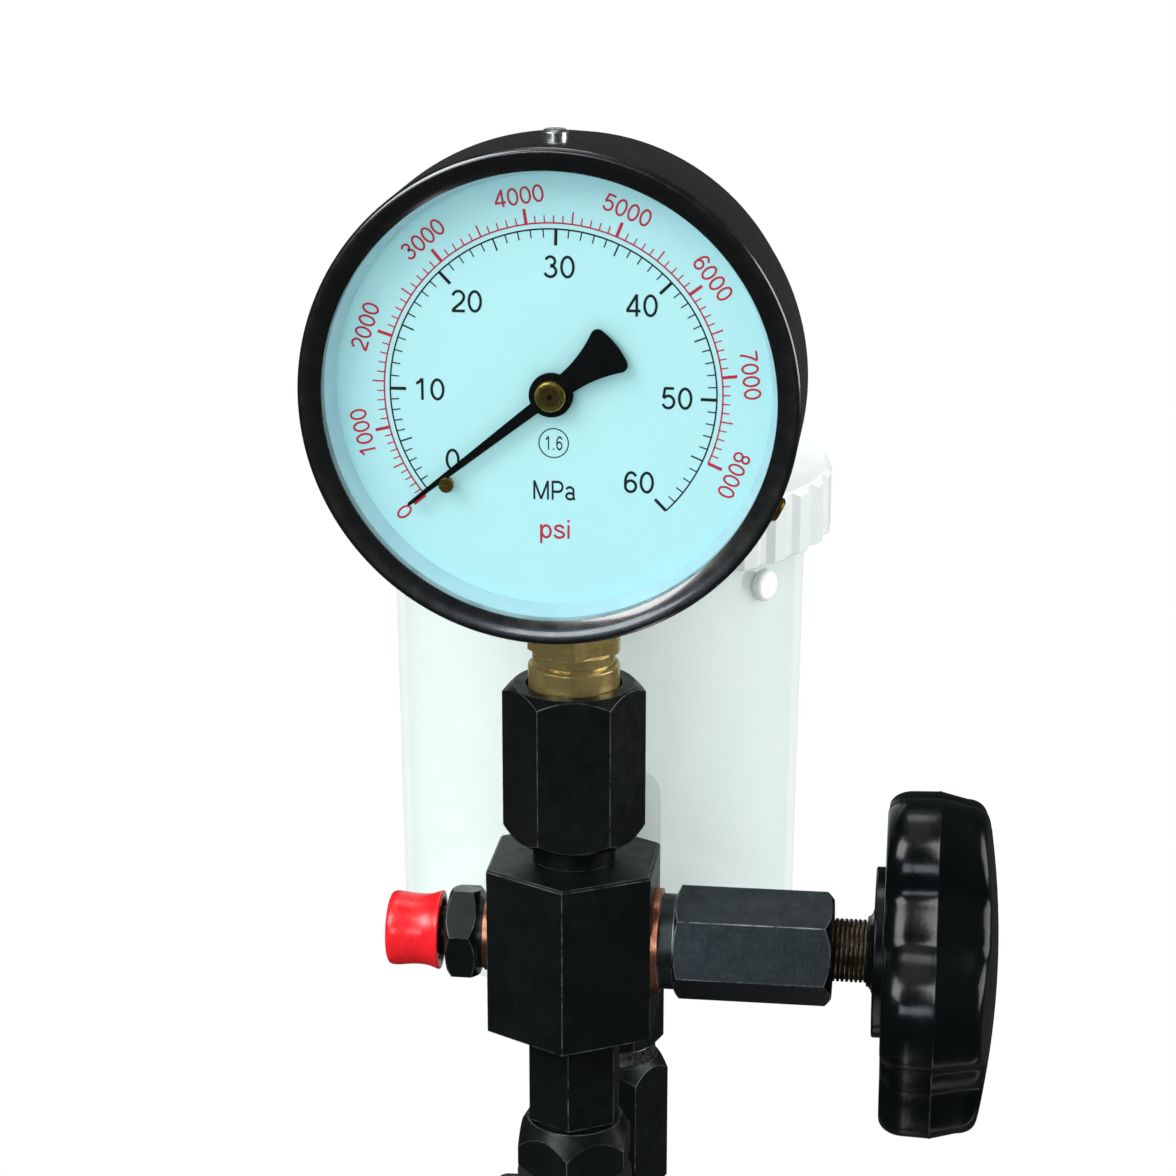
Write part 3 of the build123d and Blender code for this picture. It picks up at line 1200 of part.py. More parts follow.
def make_stack_washer():
    ring = cyl_z(STACK_WASHER_R, UNION_TOP, FITTING_BOTTOM) - cyl_z(FITTING_LOW_R, UNION_TOP, FITTING_BOTTOM)
    return at_stack(ring)


def make_union_nut():
    top = UNION_TOP
    ends = (UNION_END_R, UNION_CONE_TOP, UNION_CONE_BOTTOM)
    body = cone_ends(UNION_AF, UNION_BOTTOM, top, *ends, FLAT_TURN_ANGLE)
    body -= cyl_z(RISER_R + FIT, UNION_BOTTOM, top)
    return at_stack(body - cyl_z(FITTING_LOW_R, UNION_BOTTOM + UNION_LIP, top))


def make_inlet_arm():
    arm = cyl_y(INLET_PORT_R, BODY_HALF - INLET_PORT_DEEP + GAP, BODY_HALF, 0, INLET_Z)
    arm += cyl_y(ARM_COLLAR_R, BODY_HALF, BODY_HALF + ARM_COLLAR_T, 0, INLET_Z)
    arm += cyl_y(ARM_R, BODY_HALF, TANK_Y, 0, INLET_Z)
    arm += Pos(0, TANK_Y, INLET_Z) * Sphere(ARM_R)
    collar = RISER_TOP - RISER_COLLAR_T
    wide = FITTING_LOW_R - RISER_COLLAR_RUN
    arm += at_stack(cyl_z(RISER_R, INLET_Z, collar) + cyl_z(wide, collar, RISER_TOP))
    arm -= cyl_y(FUEL_R, BODY_HALF - INLET_PORT_DEEP, TANK_Y, 0, INLET_Z)
    return arm - at_stack(cyl_z(FUEL_R, INLET_Z, RISER_TOP))


def at_pivot(tilt, shape):
    # lever parts lie along +X from the pivot; the tilt lifts their far end
    return Pos(PIVOT_X, 0, PIVOT_Z) * Rot(0, -tilt, 0) * shape


def make_lever_arm():
    half = LEVER_W / 2
    slot = ROLLER_W / 2 + FORK_RUN
    socket_far = SOCKET_NEAR + SOCKET_LEN
    fork = block(-ARM, 0, -half, half, -FORK_H / 2, FORK_H / 2) + cyl_y(FORK_H / 2, -half, half, -ARM, 0)
    fork -= block(-ARM - ROLLER_R, -ARM + FORK_DEEP, -slot, slot, -ROLLER_R, ROLLER_R)
    fork -= cyl_y(PIN_R, -half, half, -ARM, 0)
    bar = block(0, SOCKET_NEAR, -half, half, -LEVER_H / 2, LEVER_H / 2)
    socket = chamfer(cyl_x(SOCKET_R, SOCKET_NEAR, socket_far).edges().filter_by(GeomType.CIRCLE), EDGE)
    arm = at_pivot(REST_TILT_ANGLE, fork) + at_pivot(ROD_TILT_ANGLE, bar + socket)
    arm += at_pivot(0, cyl_y(HUB_R, -half, half))
    arm -= at_pivot(ROD_TILT_ANGLE, cyl_x(ROD_R, socket_far - ROD_INTO, socket_far))
    return arm - at_pivot(0, cyl_y(PIVOT_R + PIN_RUN, -half, half))


def make_roller():
    half = ROLLER_W / 2
    wheel = chamfer(cyl_y(ROLLER_R, -half, half).edges().filter_by(GeomType.CIRCLE), EDGE)
    return at_pivot(REST_TILT_ANGLE, Pos(-ARM, 0, 0) * (wheel - cyl_y(PIN_R + PIN_RUN, -half, half)))


def make_roller_pin():
    half = LEVER_W / 2
    return at_pivot(REST_TILT_ANGLE, Pos(-ARM, 0, 0) * cyl_y(PIN_R, -half, half))


def make_pivot_pin():
    head = cyl_y(PIVOT_HEAD_R, -BODY_HALF - PIVOT_HEAD_T, -BODY_HALF)
    shaft = cyl_y(PIVOT_R, -BODY_HALF, BODY_HALF + PIVOT_TAIL)
    near = BODY_HALF + GAP
    shaft -= cyl_y(PIVOT_R, near, near + CLIP_T) - cyl_y(PIVOT_R - CLIP_DEEP, near, near + CLIP_T)
    return at_pivot(0, head + shaft)


def make_circlip():
    near = BODY_HALF + GAP
    ring = cyl_y(CLIP_R, near, near + CLIP_T) - cyl_y(PIVOT_R - CLIP_DEEP, near, near + CLIP_T)
    return at_pivot(0, ring - block(-CLIP_SLIT / 2, CLIP_SLIT / 2, near, near + CLIP_T, 0, CLIP_R))


def rod_span():
    # where the rod starts, and where the grip on it starts and ends, from the pivot
    mouth = SOCKET_NEAR + SOCKET_LEN
    return mouth - ROD_INTO, mouth + ROD_FREE, mouth + ROD_FREE + GRIP_LEN


def make_rod():
    start, _, far = rod_span()
    return at_pivot(ROD_TILT_ANGLE, cyl_x(ROD_R, start, far - GRIP_END_T))


def make_grip():
    _, near, far = rod_span()
    body = cyl_x(GRIP_R, near, far)
    body = fillet(body.edges().filter_by(GeomType.CIRCLE), GRIP_EDGE)
    first = (near + far - (GRIP_RINGS - 1) * GRIP_RING_PITCH) / 2
    half = GRIP_RING_W / 2
    for i in range(GRIP_RINGS):
        x = first + i * GRIP_RING_PITCH
        body -= cyl_x(GRIP_R, x - half, x + half) - cyl_x(GRIP_R - GRIP_RING_DEEP, x - half, x + half)
    return at_pivot(ROD_TILT_ANGLE, body - cyl_x(ROD_R, near, far - GRIP_END_T))


def single(name, shape):
    # every piece leaves as one solid
    solids = shape.solids()
    if len(solids) > 1:
        print(f"{name}: {len(solids)} solids, volumes {[round(s.volume, 1) for s in solids]}")
    return solids[0] if len(solids) == 1 else shape


def pieces():
    parts = {"foot_plate": make_foot(), "pump_housing": make_housing(), "barrel": make_barrel()}
    for i, (x, y) in enumerate(screw_places(), 1):
        parts[f"foot_screw_{i}"] = make_foot_screw(x, y)
    parts.update(plunger=make_plunger(), spring_plate=make_spring_plate(), tappet=make_tappet())
    parts.update(plunger_spring=make_plunger_spring(), delivery_seat=make_delivery_seat())
    parts.update(delivery_valve=make_delivery_valve(), delivery_spring=make_delivery_spring())
    parts.update(lever_arm=make_lever_arm(), roller=make_roller(), roller_pin=make_roller_pin())
    parts.update(pivot_pin=make_pivot_pin(), circlip=make_circlip(), lever_rod=make_rod(), grip=make_grip())
    parts.update(pressure_stud=make_pressure_stud(), lock_nut=make_lock_nut(), cross_block=make_cross_block())
    parts.update(neck_adapter=make_neck_adapter(), gauge_coupling=make_coupling())
    parts.update(gauge_pieces())
    parts.update(outlet_washer=make_outlet_washer(), outlet_union=make_outlet_union())
    parts.update(outlet_cap=make_outlet_cap())
    parts.update(valve_washer=make_valve_washer(), valve_body=make_valve_body(), spindle=make_spindle())
    parts.update(needle=make_needle(), knob=make_knob(), tank=make_tank())
    parts.update(tank_lid=make_tank_lid(), vent_plug=make_vent_plug())
    parts.update(tank_fitting=make_tank_fitting(), tank_nut=make_tank_nut())
    parts.update(tank_filter=make_tank_filter(), stack_washer=make_stack_washer(), union_nut=make_union_nut())
    parts.update(inlet_arm=make_inlet_arm())
    return parts


def gauge_pieces():
    parts = {"gauge_socket": make_gauge_socket()}
    parts.update(bourdon_tube=make_bourdon_tube(), link=make_link(), sector=make_sector())
    parts.update(pinion_arbor=make_pinion_arbor(), movement=make_movement(), gauge_case=make_case())
    parts.update(bezel=make_bezel(), gauge_glass=make_glass(), glass_gasket=make_gasket())
    parts.update(dial=make_dial(), pointer=make_pointer(), stop_pin=make_stop_pin())
    for i, angle in enumerate(BEZEL_SCREW_ANGLES, 1):
        parts[f"bezel_screw_{i}"] = make_bezel_screw(angle)
    parts.update(case_screw=make_case_screw())
    return parts


def main():
    os.makedirs("parts", exist_ok=True)
    parts = pieces()
    for name, shape in parts.items():
        export_step(single(name, shape), f"parts/{name}.step")
    print(f"{len(parts)} pieces written")


main()
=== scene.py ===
import logging
import math
from collections.abc import Callable
from dataclasses import dataclass, field
from enum import Enum

import bmesh
import bpy
from mathutils import Matrix, Vector


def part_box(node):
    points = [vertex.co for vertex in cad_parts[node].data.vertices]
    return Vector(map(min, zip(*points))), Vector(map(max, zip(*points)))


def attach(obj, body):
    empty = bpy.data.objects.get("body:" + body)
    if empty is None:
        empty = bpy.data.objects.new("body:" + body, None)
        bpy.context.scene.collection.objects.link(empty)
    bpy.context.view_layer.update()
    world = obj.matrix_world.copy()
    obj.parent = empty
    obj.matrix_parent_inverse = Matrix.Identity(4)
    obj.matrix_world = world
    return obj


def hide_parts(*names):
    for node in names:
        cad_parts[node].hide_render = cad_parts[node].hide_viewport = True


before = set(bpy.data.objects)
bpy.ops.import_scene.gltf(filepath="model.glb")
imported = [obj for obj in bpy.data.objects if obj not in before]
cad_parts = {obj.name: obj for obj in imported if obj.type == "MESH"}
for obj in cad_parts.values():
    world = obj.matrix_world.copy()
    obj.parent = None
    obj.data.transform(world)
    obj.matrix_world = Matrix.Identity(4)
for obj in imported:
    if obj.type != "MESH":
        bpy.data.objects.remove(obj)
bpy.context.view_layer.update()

Tree, Socket, Mesh = bpy.types.NodeTree, bpy.types.NodeSocket, bpy.types.Mesh
Point = tuple[float, float]
log = logging.getLogger("tester")
MM = 0.001
WHOLE_TURN = 360.0
QUARTER_TURN = WHOLE_TURN / 4
SHARP_ANGLE = 35.0
# points closer than this, in a mesh's own unit, are one
SAME = 1e-6
# the fewest flats of a drawn arc, and how far a sharp bend may stretch a drawn line: one over this
FEWEST_FLATS, SHARPEST_BEND = 6, 0.5
# the raw noise values between which each pattern goes from nothing to its full share
PATCHES, SPECKS, RUBS, SHEENS, HEIGHTS = (0.35, 0.65), (0.62, 0.7), (0.38, 0.6), (0.3, 0.7), (0.2, 0.8)
# how far a normal has turned, as a cosine, where an edge starts to be rubbed and where it is bare
EDGE_TURN = (0.997, 0.93)
# the patches in which an edge is rubbed, and how far light runs inside soft plastic
RUB_MM, LIGHT_DEPTH_MM = 3.5, 2.0
# how strong each finer layer of noise is beside the one before it
FINER_SHARE = 0.6
COAT_ROUGHNESS = 0.08
# the painted hollow in the gauge arbor, whose darker colour is painted shade: how much of it is its floor, and how much
# is its darkest middle
DISH_FLOOR, DISH_SHADE = 0.8, 0.25
WORN_SAMPLES, ROUND_SAMPLES = 8, 6


class Grain(Enum):
    """The way that turning or brushing marks run, as how much each axis is stretched."""

    NONE = (1.0, 1.0, 1.0)
    AROUND_X = (1.0, 0.04, 0.04)
    AROUND_Y = (0.04, 1.0, 0.04)
    AROUND_Z = (0.04, 0.04, 1.0)


def linear(hex_colour: str) -> tuple[float, float, float, float]:
    """Turns an sRGB hex colour into the linear colour that a shader takes.

    Args:
        hex_colour: Six hex digits after a hash.

    Returns:
        Linear red, green, blue and an alpha of one.
    """
    parts = [int(hex_colour[i:i + 2], 16) / 255 for i in (1, 3, 5)]
    red, green, blue = [p / 12.92 if p <= 0.04045 else ((p + 0.055) / 1.055) ** 2.4 for p in parts]
    return red, green, blue, 1.0


def node(tree: Tree, kind: str, inputs: dict | None = None, **settings: object) -> bpy.types.Node:
    """Adds a node to a tree with its settings and links.

    Args:
        tree: The tree that gets the node.
        kind: Blender's name for the node.
        inputs: Values or output sockets, by the input's name or number.
        **settings: The node's own settings.

    Returns:
        The new node.
    """
    made = tree.nodes.new(kind)
    for key, value in settings.items():
        setattr(made, key, value)
    for key, value in (inputs or {}).items():
        if isinstance(value, Socket):
            tree.links.new(value, made.inputs[key])
        else:
            made.inputs[key].default_value = value
    return made


def fresh_tree(owner: bpy.types.Material | bpy.types.World) -> Tree:
    """Gives a material or a world an empty node tree.

    Args:
        owner: The material or world.

    Returns:
        Its tree.
    """
    owner.use_nodes = True
    owner.node_tree.nodes.clear()
    return owner.node_tree


def mesh_of(name: str, verts: list, faces: list) -> Mesh:
    """Makes a mesh.

    Args:
        name: The mesh's name.
        verts: Its points.
        faces: Its faces, as numbers of points.

    Returns:
        The new mesh.
    """
    mesh = bpy.data.meshes.new(name)
    mesh.from_pydata(verts, [], faces)
    return mesh


@dataclass(frozen=True)
class Finish:
    """One finish: what the piece is made of, how its surface was made and how it has worn.

    Sizes are in millimetres on the real piece. A share of nought leaves that part of the finish out.
    """

    name: str
    colour: str
    second: str
    roughness: float
    metallic: float = 0.0
    ior: float = 1.5
    mottle_mm: float = 7.0
    mottle_share: float = 0.6
    rough_spread: float = 0.12
    grain: Grain = Grain.NONE
    grain_mm: float = 0.3
    grain_depth: float = 0.0
    texture_mm: float = 0.8
    texture_depth: float = 0.0
    speck: str = "#FFFFFF"
    speck_mm: float = 0.5
    speck_share: float = 0.0
    edge: str = "#FFFFFF"
    edge_mm: float = 0.35
    edge_share: float = 0.0
    round_mm: float = 0.0
    coat: float = 0.0
    specular: float = 0.5
    subsurface: float = 0.0
    alpha: float = 1.0
    # the hollow: its radius, and the colours of its floor and of its middle, both painted shade
    dish_mm: float = 0.0
    dish: str = "#7A6238"
    dish_shade_middle: str = "#3A2418"

    def material(self) -> bpy.types.Material:
        """Builds the finish the first time it is asked for.

        Returns:
            Its material.
        """
        made = bpy.data.materials.get(self.name)
        if not made:
            made = bpy.data.materials.new(self.name)
            tree = fresh_tree(made)
            place = node(tree, "ShaderNodeTexCoord").outputs["Object"]
            node(tree, "ShaderNodeOutputMaterial", {"Surface": self._shader(tree, place)})
        return made

    def _shader(self, tree: Tree, place: Socket) -> Socket:
        """Puts the colour, the roughness and the bump into one shader.

        Args:
            tree: The material's tree.
            place: The coordinates to read.

        Returns:
            The shader's socket.
        """
        worn = self._worn(tree, place) if self.edge_share else None
        shader = node(tree, "ShaderNodeBsdfPrincipled", {
            "Base Color": self._colour(tree, place, worn),
            "Roughness": self._noise(tree, place, self.mottle_mm / 3, SHEENS, 4.0, (
                max(0.0, self.roughness - self.rough_spread / 2), self.roughness + self.rough_spread / 2)),
            "Metallic": self.metallic,
            "Coat Weight": self.coat,
            "Coat Roughness": COAT_ROUGHNESS,
            "Specular IOR Level": self.specular,
            "Subsurface Weight": self.subsurface,
            "Subsurface Radius": (LIGHT_DEPTH_MM * MM,) * 3,
            "Subsurface Scale": 1.0,
            "Alpha": self.alpha,
            "Normal": self._bump(tree, place),
        })
        if not self.metallic:
            shader.inputs["IOR"].default_value = self.ior
        return shader.outputs["BSDF"]

    def _noise(self, tree: Tree, place: Socket, size_mm: float, span: Point, detail: float = 3.0,
               to: Point = (0.0, 1.0)) -> Socket:
        """Gives cloudy patches of one real size.

        Args:
            tree: The material's tree.
            place: The coordinates to read.
            size_mm: The size of one patch on the piece.
            span: The raw values that become the lowest and the highest.
            detail: How many finer layers are laid over it.
            to: The lowest and the highest value.

        Returns:
            A socket with values from lowest to highest.
        """
        raw = node(tree, "ShaderNodeTexNoise", {
            "Vector": place, "Scale": 1 / (size_mm * MM), "Detail": detail, "Roughness": FINER_SHARE})
        return node(tree, "ShaderNodeMapRange", {
            "Value": raw.outputs[0], "From Min": span[0], "From Max": span[1],
            "To Min": to[0], "To Max": to[1]}).outputs[0]

    def _worn(self, tree: Tree, place: Socket) -> Socket:
        """Finds the edges where handling has rubbed the finish away.

        Args:
            tree: The material's tree.
            place: The coordinates to read.

        Returns:
            A mask of how far it is rubbed away.
        """
        wide = node(tree, "ShaderNodeBevel", {"Radius": self.edge_mm * MM}, samples=WORN_SAMPLES).outputs[0]
        flat = node(tree, "ShaderNodeNewGeometry").outputs["Normal"]
        turned = node(tree, "ShaderNodeVectorMath", {0: wide, 1: flat}, operation="DOT_PRODUCT").outputs["Value"]
        mask = node(tree, "ShaderNodeMapRange", {
            "Value": turned, "From Min": EDGE_TURN[0], "From Max": EDGE_TURN[1],
            "To Max": self.edge_share}).outputs[0]
        rubs = self._noise(tree, place, RUB_MM, RUBS, 5.0)
        return node(tree, "ShaderNodeMath", {0: mask, 1: rubs}, operation="MULTIPLY").outputs[0]

    def _colour(self, tree: Tree, place: Socket, worn: Socket | None) -> Socket:
        """Lays the second colour, the specks, the rubbed edges and the hollow's painted shade over the first colour.

        Args:
            tree: The material's tree.
            place: The coordinates to read.
            worn: The mask of rubbed edges, if any.

        Returns:
            The colour's socket.
        """
        layers = [(self._noise(tree, place, self.mottle_mm, PATCHES, to=(0.0, self.mottle_share)), self.second)]
        if self.speck_share:
            layers.append((self._noise(tree, place, self.speck_mm, SPECKS, to=(0.0, self.speck_share)), self.speck))
        if worn:
            layers.append((worn, self.edge))
        # the hollow's floor and middle are painted shade
        if self.dish_mm:
            layers.append((self._dish(tree, place, self.dish_mm), self.dish))
            layers.append((self._dish(tree, place, self.dish_mm * DISH_SHADE), self.dish_shade_middle))
        colour = linear(self.colour)
        for share, layer in layers:
            colour = node(tree, "ShaderNodeMix", {0: share, 6: colour, 7: linear(layer)}, data_type="RGBA").outputs[2]
        return colour

    def _dish(self, tree: Tree, place: Socket, radius_mm: float) -> Socket:
        """Finds the turned hollow in the middle of the gauge's arbor, which is drawn only as painted shade.

        Args:
            tree: The material's tree.
            place: The coordinates to read.
            radius_mm: The hollow's radius.

        Returns:
            A mask of the hollow.
        """
        middle = (0.0, 0.0, (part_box("dial")[0].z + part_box("dial")[1].z) / 2)
        flat = node(tree, "ShaderNodeVectorMath", {0: place, 1: (1.0, 0.0, 1.0)}, operation="MULTIPLY").outputs[0]
        away = node(tree, "ShaderNodeVectorMath", {0: flat, 1: middle}, operation="DISTANCE").outputs["Value"]
        return node(tree, "ShaderNodeMapRange", {
            "Value": away, "From Min": radius_mm * MM, "From Max": radius_mm * DISH_FLOOR * MM}).outputs[0]

    def _bump(self, tree: Tree, place: Socket) -> Socket | tuple[float, float, float]:
        """Breaks the edges and lays texture and grain over them.

        Args:
            tree: The material's tree.
            place: The coordinates to read.

        Returns:
            The normal, or zeros for the plain one.
        """
        normal = None
        if self.round_mm:
            normal = node(tree, "ShaderNodeBevel", {"Radius": self.round_mm * MM}, samples=ROUND_SAMPLES).outputs[0]
        layers = [(place, self.texture_mm, self.texture_depth)]
        if self.grain_depth:
            stretched = node(tree, "ShaderNodeVectorMath", {0: place, 1: self.grain.value}, operation="MULTIPLY")
            layers.append((stretched.outputs[0], self.grain_mm, self.grain_depth))
        for where, size_mm, depth_mm in layers:
            if depth_mm:
                inputs = {"Height": self._noise(tree, where, size_mm, HEIGHTS, 2.0), "Distance": depth_mm * MM,
                          "Strength": 1.0}
                if normal:
                    inputs["Normal"] = normal
                normal = node(tree, "ShaderNodeBump", inputs).outputs[0]
        return normal or (0.0, 0.0, 0.0)


@dataclass(frozen=True)
class ClearFinish(Finish):
    """Thin clear sheet: what is behind it shows straight through, and it mirrors a little at a slant."""

    mirror_share: float = 0.55

    def _shader(self, tree: Tree, place: Socket) -> Socket:
        """Lets most light straight through and mirrors the rest.

        Args:
            tree: The material's tree.
            place: The coordinates to read.

        Returns:
            The shader's socket.
        """
        tint = self._colour(tree, place, None)
        through = node(tree, "ShaderNodeBsdfTransparent", {"Color": tint}).outputs[0]
        mirror = node(tree, "ShaderNodeBsdfAnisotropic", {"Color": tint, "Roughness": self.roughness}).outputs[0]
        slant = node(tree, "ShaderNodeFresnel", {"IOR": self.ior}).outputs[0]
        share = node(tree, "ShaderNodeMath", {0: slant, 1: self.mirror_share}, operation="MULTIPLY").outputs[0]
        return node(tree, "ShaderNodeMixShader", {0: share, 1: through, 2: mirror}).outputs[0]


# Turning and grinding marks are drawn 0.2 to 0.4 mm wide, coarser than the real ones, so that they show.

# black oxide on steel drinks most light, so the faces stay near black and only rubbed edges glint
OXIDE = Finish("black_oxide_steel_milled", "#0E1314", "#161C1D", 0.36, metallic=0.5, mottle_mm=9, rough_spread=0.2,
               grain=Grain.AROUND_Z, grain_mm=0.35, grain_depth=0.01, texture_mm=0.5, texture_depth=0.012,
               speck="#3A4040", speck_mm=0.35, speck_share=0.3, edge="#8F9593", edge_mm=0.4, edge_share=0.7,
               round_mm=0.35)
# the same oxide over bright bar stock, thin enough that the face looks a dull slate grey
OXIDE_LIGHT = Finish("black_oxide_steel_bar", "#3A4042", "#464D4F", 0.42, metallic=1.0, mottle_mm=4,
                     rough_spread=0.22, grain=Grain.AROUND_X, grain_mm=0.3, grain_depth=0.014, texture_mm=0.45,
                     texture_depth=0.02, speck="#6C7374", speck_mm=0.4, speck_share=0.5, edge="#C9CFCD",
                     edge_mm=0.5, edge_share=1.0, round_mm=0.3)
# enamel over a sand casting: the coarse skin breaks the gloss into small soft lights
CAST_PAINT = Finish("cast_iron_painted", "#14181A", "#1F2425", 0.46, mottle_mm=14, texture_mm=1.6,
                    texture_depth=0.09, speck="#32383A", speck_mm=0.9, speck_share=0.4, edge="#4B5152",
                    edge_mm=0.8, edge_share=0.5, round_mm=1.0, coat=0.15)
# ground shafts and collars: fine rings round the axis draw each light out into a streak
GROUND = Finish("steel_ground", "#B9BCBB", "#A5A8A6", 0.26, metallic=1.0, grain=Grain.AROUND_Z, grain_mm=0.25,
                grain_depth=0.01, round_mm=0.2)
# the same grinding on the pins and the roller that lie across the tester
GROUND_Y = Finish("steel_ground_pins", "#B4B7B6", "#9C9F9D", 0.28, metallic=1.0, grain=Grain.AROUND_Y,
                  grain_mm=0.25, grain_depth=0.01, round_mm=0.2)
# a washer turned from bar, sitting in shade: dark patches of painted shade and bright patches of painted highlight,
# side by side
TURNED_PAINTED_SHADE = Finish("steel_turned_oiled", "#A5A8A5", "#3A3C3B", 0.3, metallic=1.0, mottle_mm=1.6, mottle_share=0.9,
                     grain=Grain.AROUND_Z, grain_mm=0.4, grain_depth=0.03, edge="#C6C8C4", edge_mm=0.3,
                     edge_share=0.6, round_mm=0.25)
# zinc plate: a bright, slightly cloudy skin on screws and the lever's rod
PLATED = Finish("steel_zinc_plated", "#C9CBC8", "#B2B5B0", 0.3, metallic=1.0, mottle_mm=3, texture_mm=0.3,
                texture_depth=0.008, round_mm=0.25)
# drawn spring wire, dull grey with a long soft light along each turn
SPRING = Finish("steel_spring_wire", "#6E7274", "#595D5F", 0.34, metallic=1.0, mottle_mm=4, texture_mm=0.4,
                texture_depth=0.01)
# turned brass gone a little olive with age, its corners polished back to yellow
BRASS = Finish("brass_turned", "#C8B272", "#9C8B52", 0.26, metallic=0.75, mottle_mm=6,
               grain=Grain.AROUND_Z, grain_mm=0.3, grain_depth=0.006, speck="#6F6236", speck_mm=1.6,
               speck_share=0.3, edge="#F2E4B0", edge_mm=0.4, edge_share=0.8, round_mm=0.3)
# the movement's plates and pins: brass faced on a lathe, seen only close up
BRASS_FACE = Finish("brass_turned_face", "#A8873C", "#7F6429", 0.3, metallic=1.0, mottle_mm=1.5,
                    grain=Grain.AROUND_Y, grain_mm=0.2, grain_depth=0.012, edge="#E2CB86", edge_mm=0.2,
                    edge_share=0.5, round_mm=0.15)
# the pointer's hub: bright turned rim round a painted hollow, darker and darkest at its middle, which is painted shade
BRASS_HUB = Finish("brass_turned_hub", "#B59243", "#8A6E2F", 0.3, metallic=1.0, mottle_mm=1.5,
                   grain=Grain.AROUND_Y, grain_mm=0.2, grain_depth=0.012, edge="#F0DC9C", edge_mm=0.3,
                   edge_share=0.8, round_mm=0.25, dish_mm=2.3)
# a screw that has run through oil for years: brown film, with bare gold where the ridges rub
WORN_THREAD = Finish("steel_thread_worn", "#2C2822", "#4C3E28", 0.32, metallic=0.9, mottle_mm=2.2,
                     mottle_share=0.9, texture_mm=0.5, texture_depth=0.03, speck="#C79E5C", speck_mm=0.6,
                     speck_share=0.6, edge="#B0A58C", edge_mm=0.15, edge_share=0.8)
# soft copper rings, pinkish where clean and brown where oil has stood
COPPER = Finish("copper_stamped", "#CC8A6C", "#A2604A", 0.32, metallic=1.0, mottle_mm=2, grain=Grain.AROUND_X,
                grain_mm=0.25, grain_depth=0.012, speck="#6B4032", speck_mm=0.5, speck_share=0.5,
                edge="#F0B594", edge_mm=0.2, edge_share=0.6, round_mm=0.2)
# stoved black enamel on pressed steel: smooth, so it carries a broad grey light on its slopes
CASE_ENAMEL = Finish("steel_enamelled_black", "#040607", "#070A0B", 0.25, ior=1.7, mottle_mm=12, texture_mm=0.9,
                     texture_depth=0.003, speck="#1A1E20", speck_mm=0.6, speck_share=0.1, edge="#464C50",
                     edge_mm=0.4, edge_share=0.3, round_mm=0.4, coat=1.0)
# the matt pale ring behind the glass, which shows as a thin light band inside the rim
RING_WHITE = Finish("rubber_ring_pale", "#C9E6EE", "#B7D8E2", 0.5, mottle_mm=10)
# the dial's pale blue enamel, flat and even so that the print reads
DIAL_PAINT = Finish("aluminium_enamelled_pale", "#CCF6F8", "#C3F1F6", 0.42, mottle_mm=25,
                    mottle_share=0.4, texture_mm=0.7, texture_depth=0.003)
# dense screen ink, flatter than the enamel under it
INK_BLACK = Finish("screen_ink_black", "#090E12", "#11171B", 0.55, mottle_mm=1.2)
# the red of the outer scale, bright and a little uneven
INK_RED = Finish("screen_ink_red", "#DA123C", "#C60E34", 0.55, mottle_mm=1.2)
# the pointer's dull black paint, so that only its outline shows
POINTER_BLACK = Finish("aluminium_painted_black", "#020303", "#050606", 0.6, mottle_mm=3,
                       texture_mm=0.3, texture_depth=0.004, round_mm=0.1, specular=0.12)
# dipped soft plastic: waxy red with a broad light and a slightly uneven skin
SOFT_RED = Finish("pvc_dipped_red", "#DB0F1C", "#C90B16", 0.27, ior=1.52, mottle_mm=6, texture_mm=1.6,
                  texture_depth=0.03, subsurface=0.1, round_mm=0.3)
# moulded phenolic: deep black with a clear gloss, rippled where the moulding shrank
PHENOLIC = Finish("phenolic_moulded_black", "#030607", "#060A0B", 0.2, mottle_mm=18,
                  rough_spread=0.1, texture_mm=4.0, texture_depth=0.04, round_mm=0.4, specular=0.28)
# the grip's matt rubber, soft grey where light catches it
GRIP = Finish("rubber_moulded_black", "#161718", "#202223", 0.62, mottle_mm=8, texture_mm=0.5,
              texture_depth=0.03, round_mm=0.5)
# blown polyethylene: milky, lets the filter show faintly, with the slow waves of blowing
TANK = Finish("polyethylene_blown_natural", "#E8F5F2", "#E0F0EC", 0.42, mottle_mm=30, mottle_share=0.5,
              texture_mm=5.0, texture_depth=0.03, alpha=0.35)
# the lid's thicker polypropylene, whiter and closer than the tank
LID = Finish("polypropylene_moulded_natural", "#DEE5E4", "#D5DDDB", 0.36, ior=1.49, mottle_mm=12, texture_mm=1.5,
             texture_depth=0.015, alpha=0.9, round_mm=0.3)
# the vent's flat grey rubber, darker round its rim
PLUG = Finish("rubber_plug_grey", "#F6FAF9", "#E6EBE9", 0.6, mottle_mm=2.2, mottle_share=0.8,
              edge="#7E8883", edge_mm=0.6, edge_share=0.8)
# moulded nylon inside the tank, seen only as a soft shade through the wall
NYLON = Finish("nylon_moulded_natural", "#D6D9D2", "#C4C8C0", 0.4, ior=1.53, subsurface=0.2)
# thin clear glass, which adds only a slight tint and a weak mirror at a slant
GLASS = ClearFinish("soda_glass_float", "#FCFFFF", "#F8FEFE", 0.03, mottle_mm=40, mottle_share=0.3)

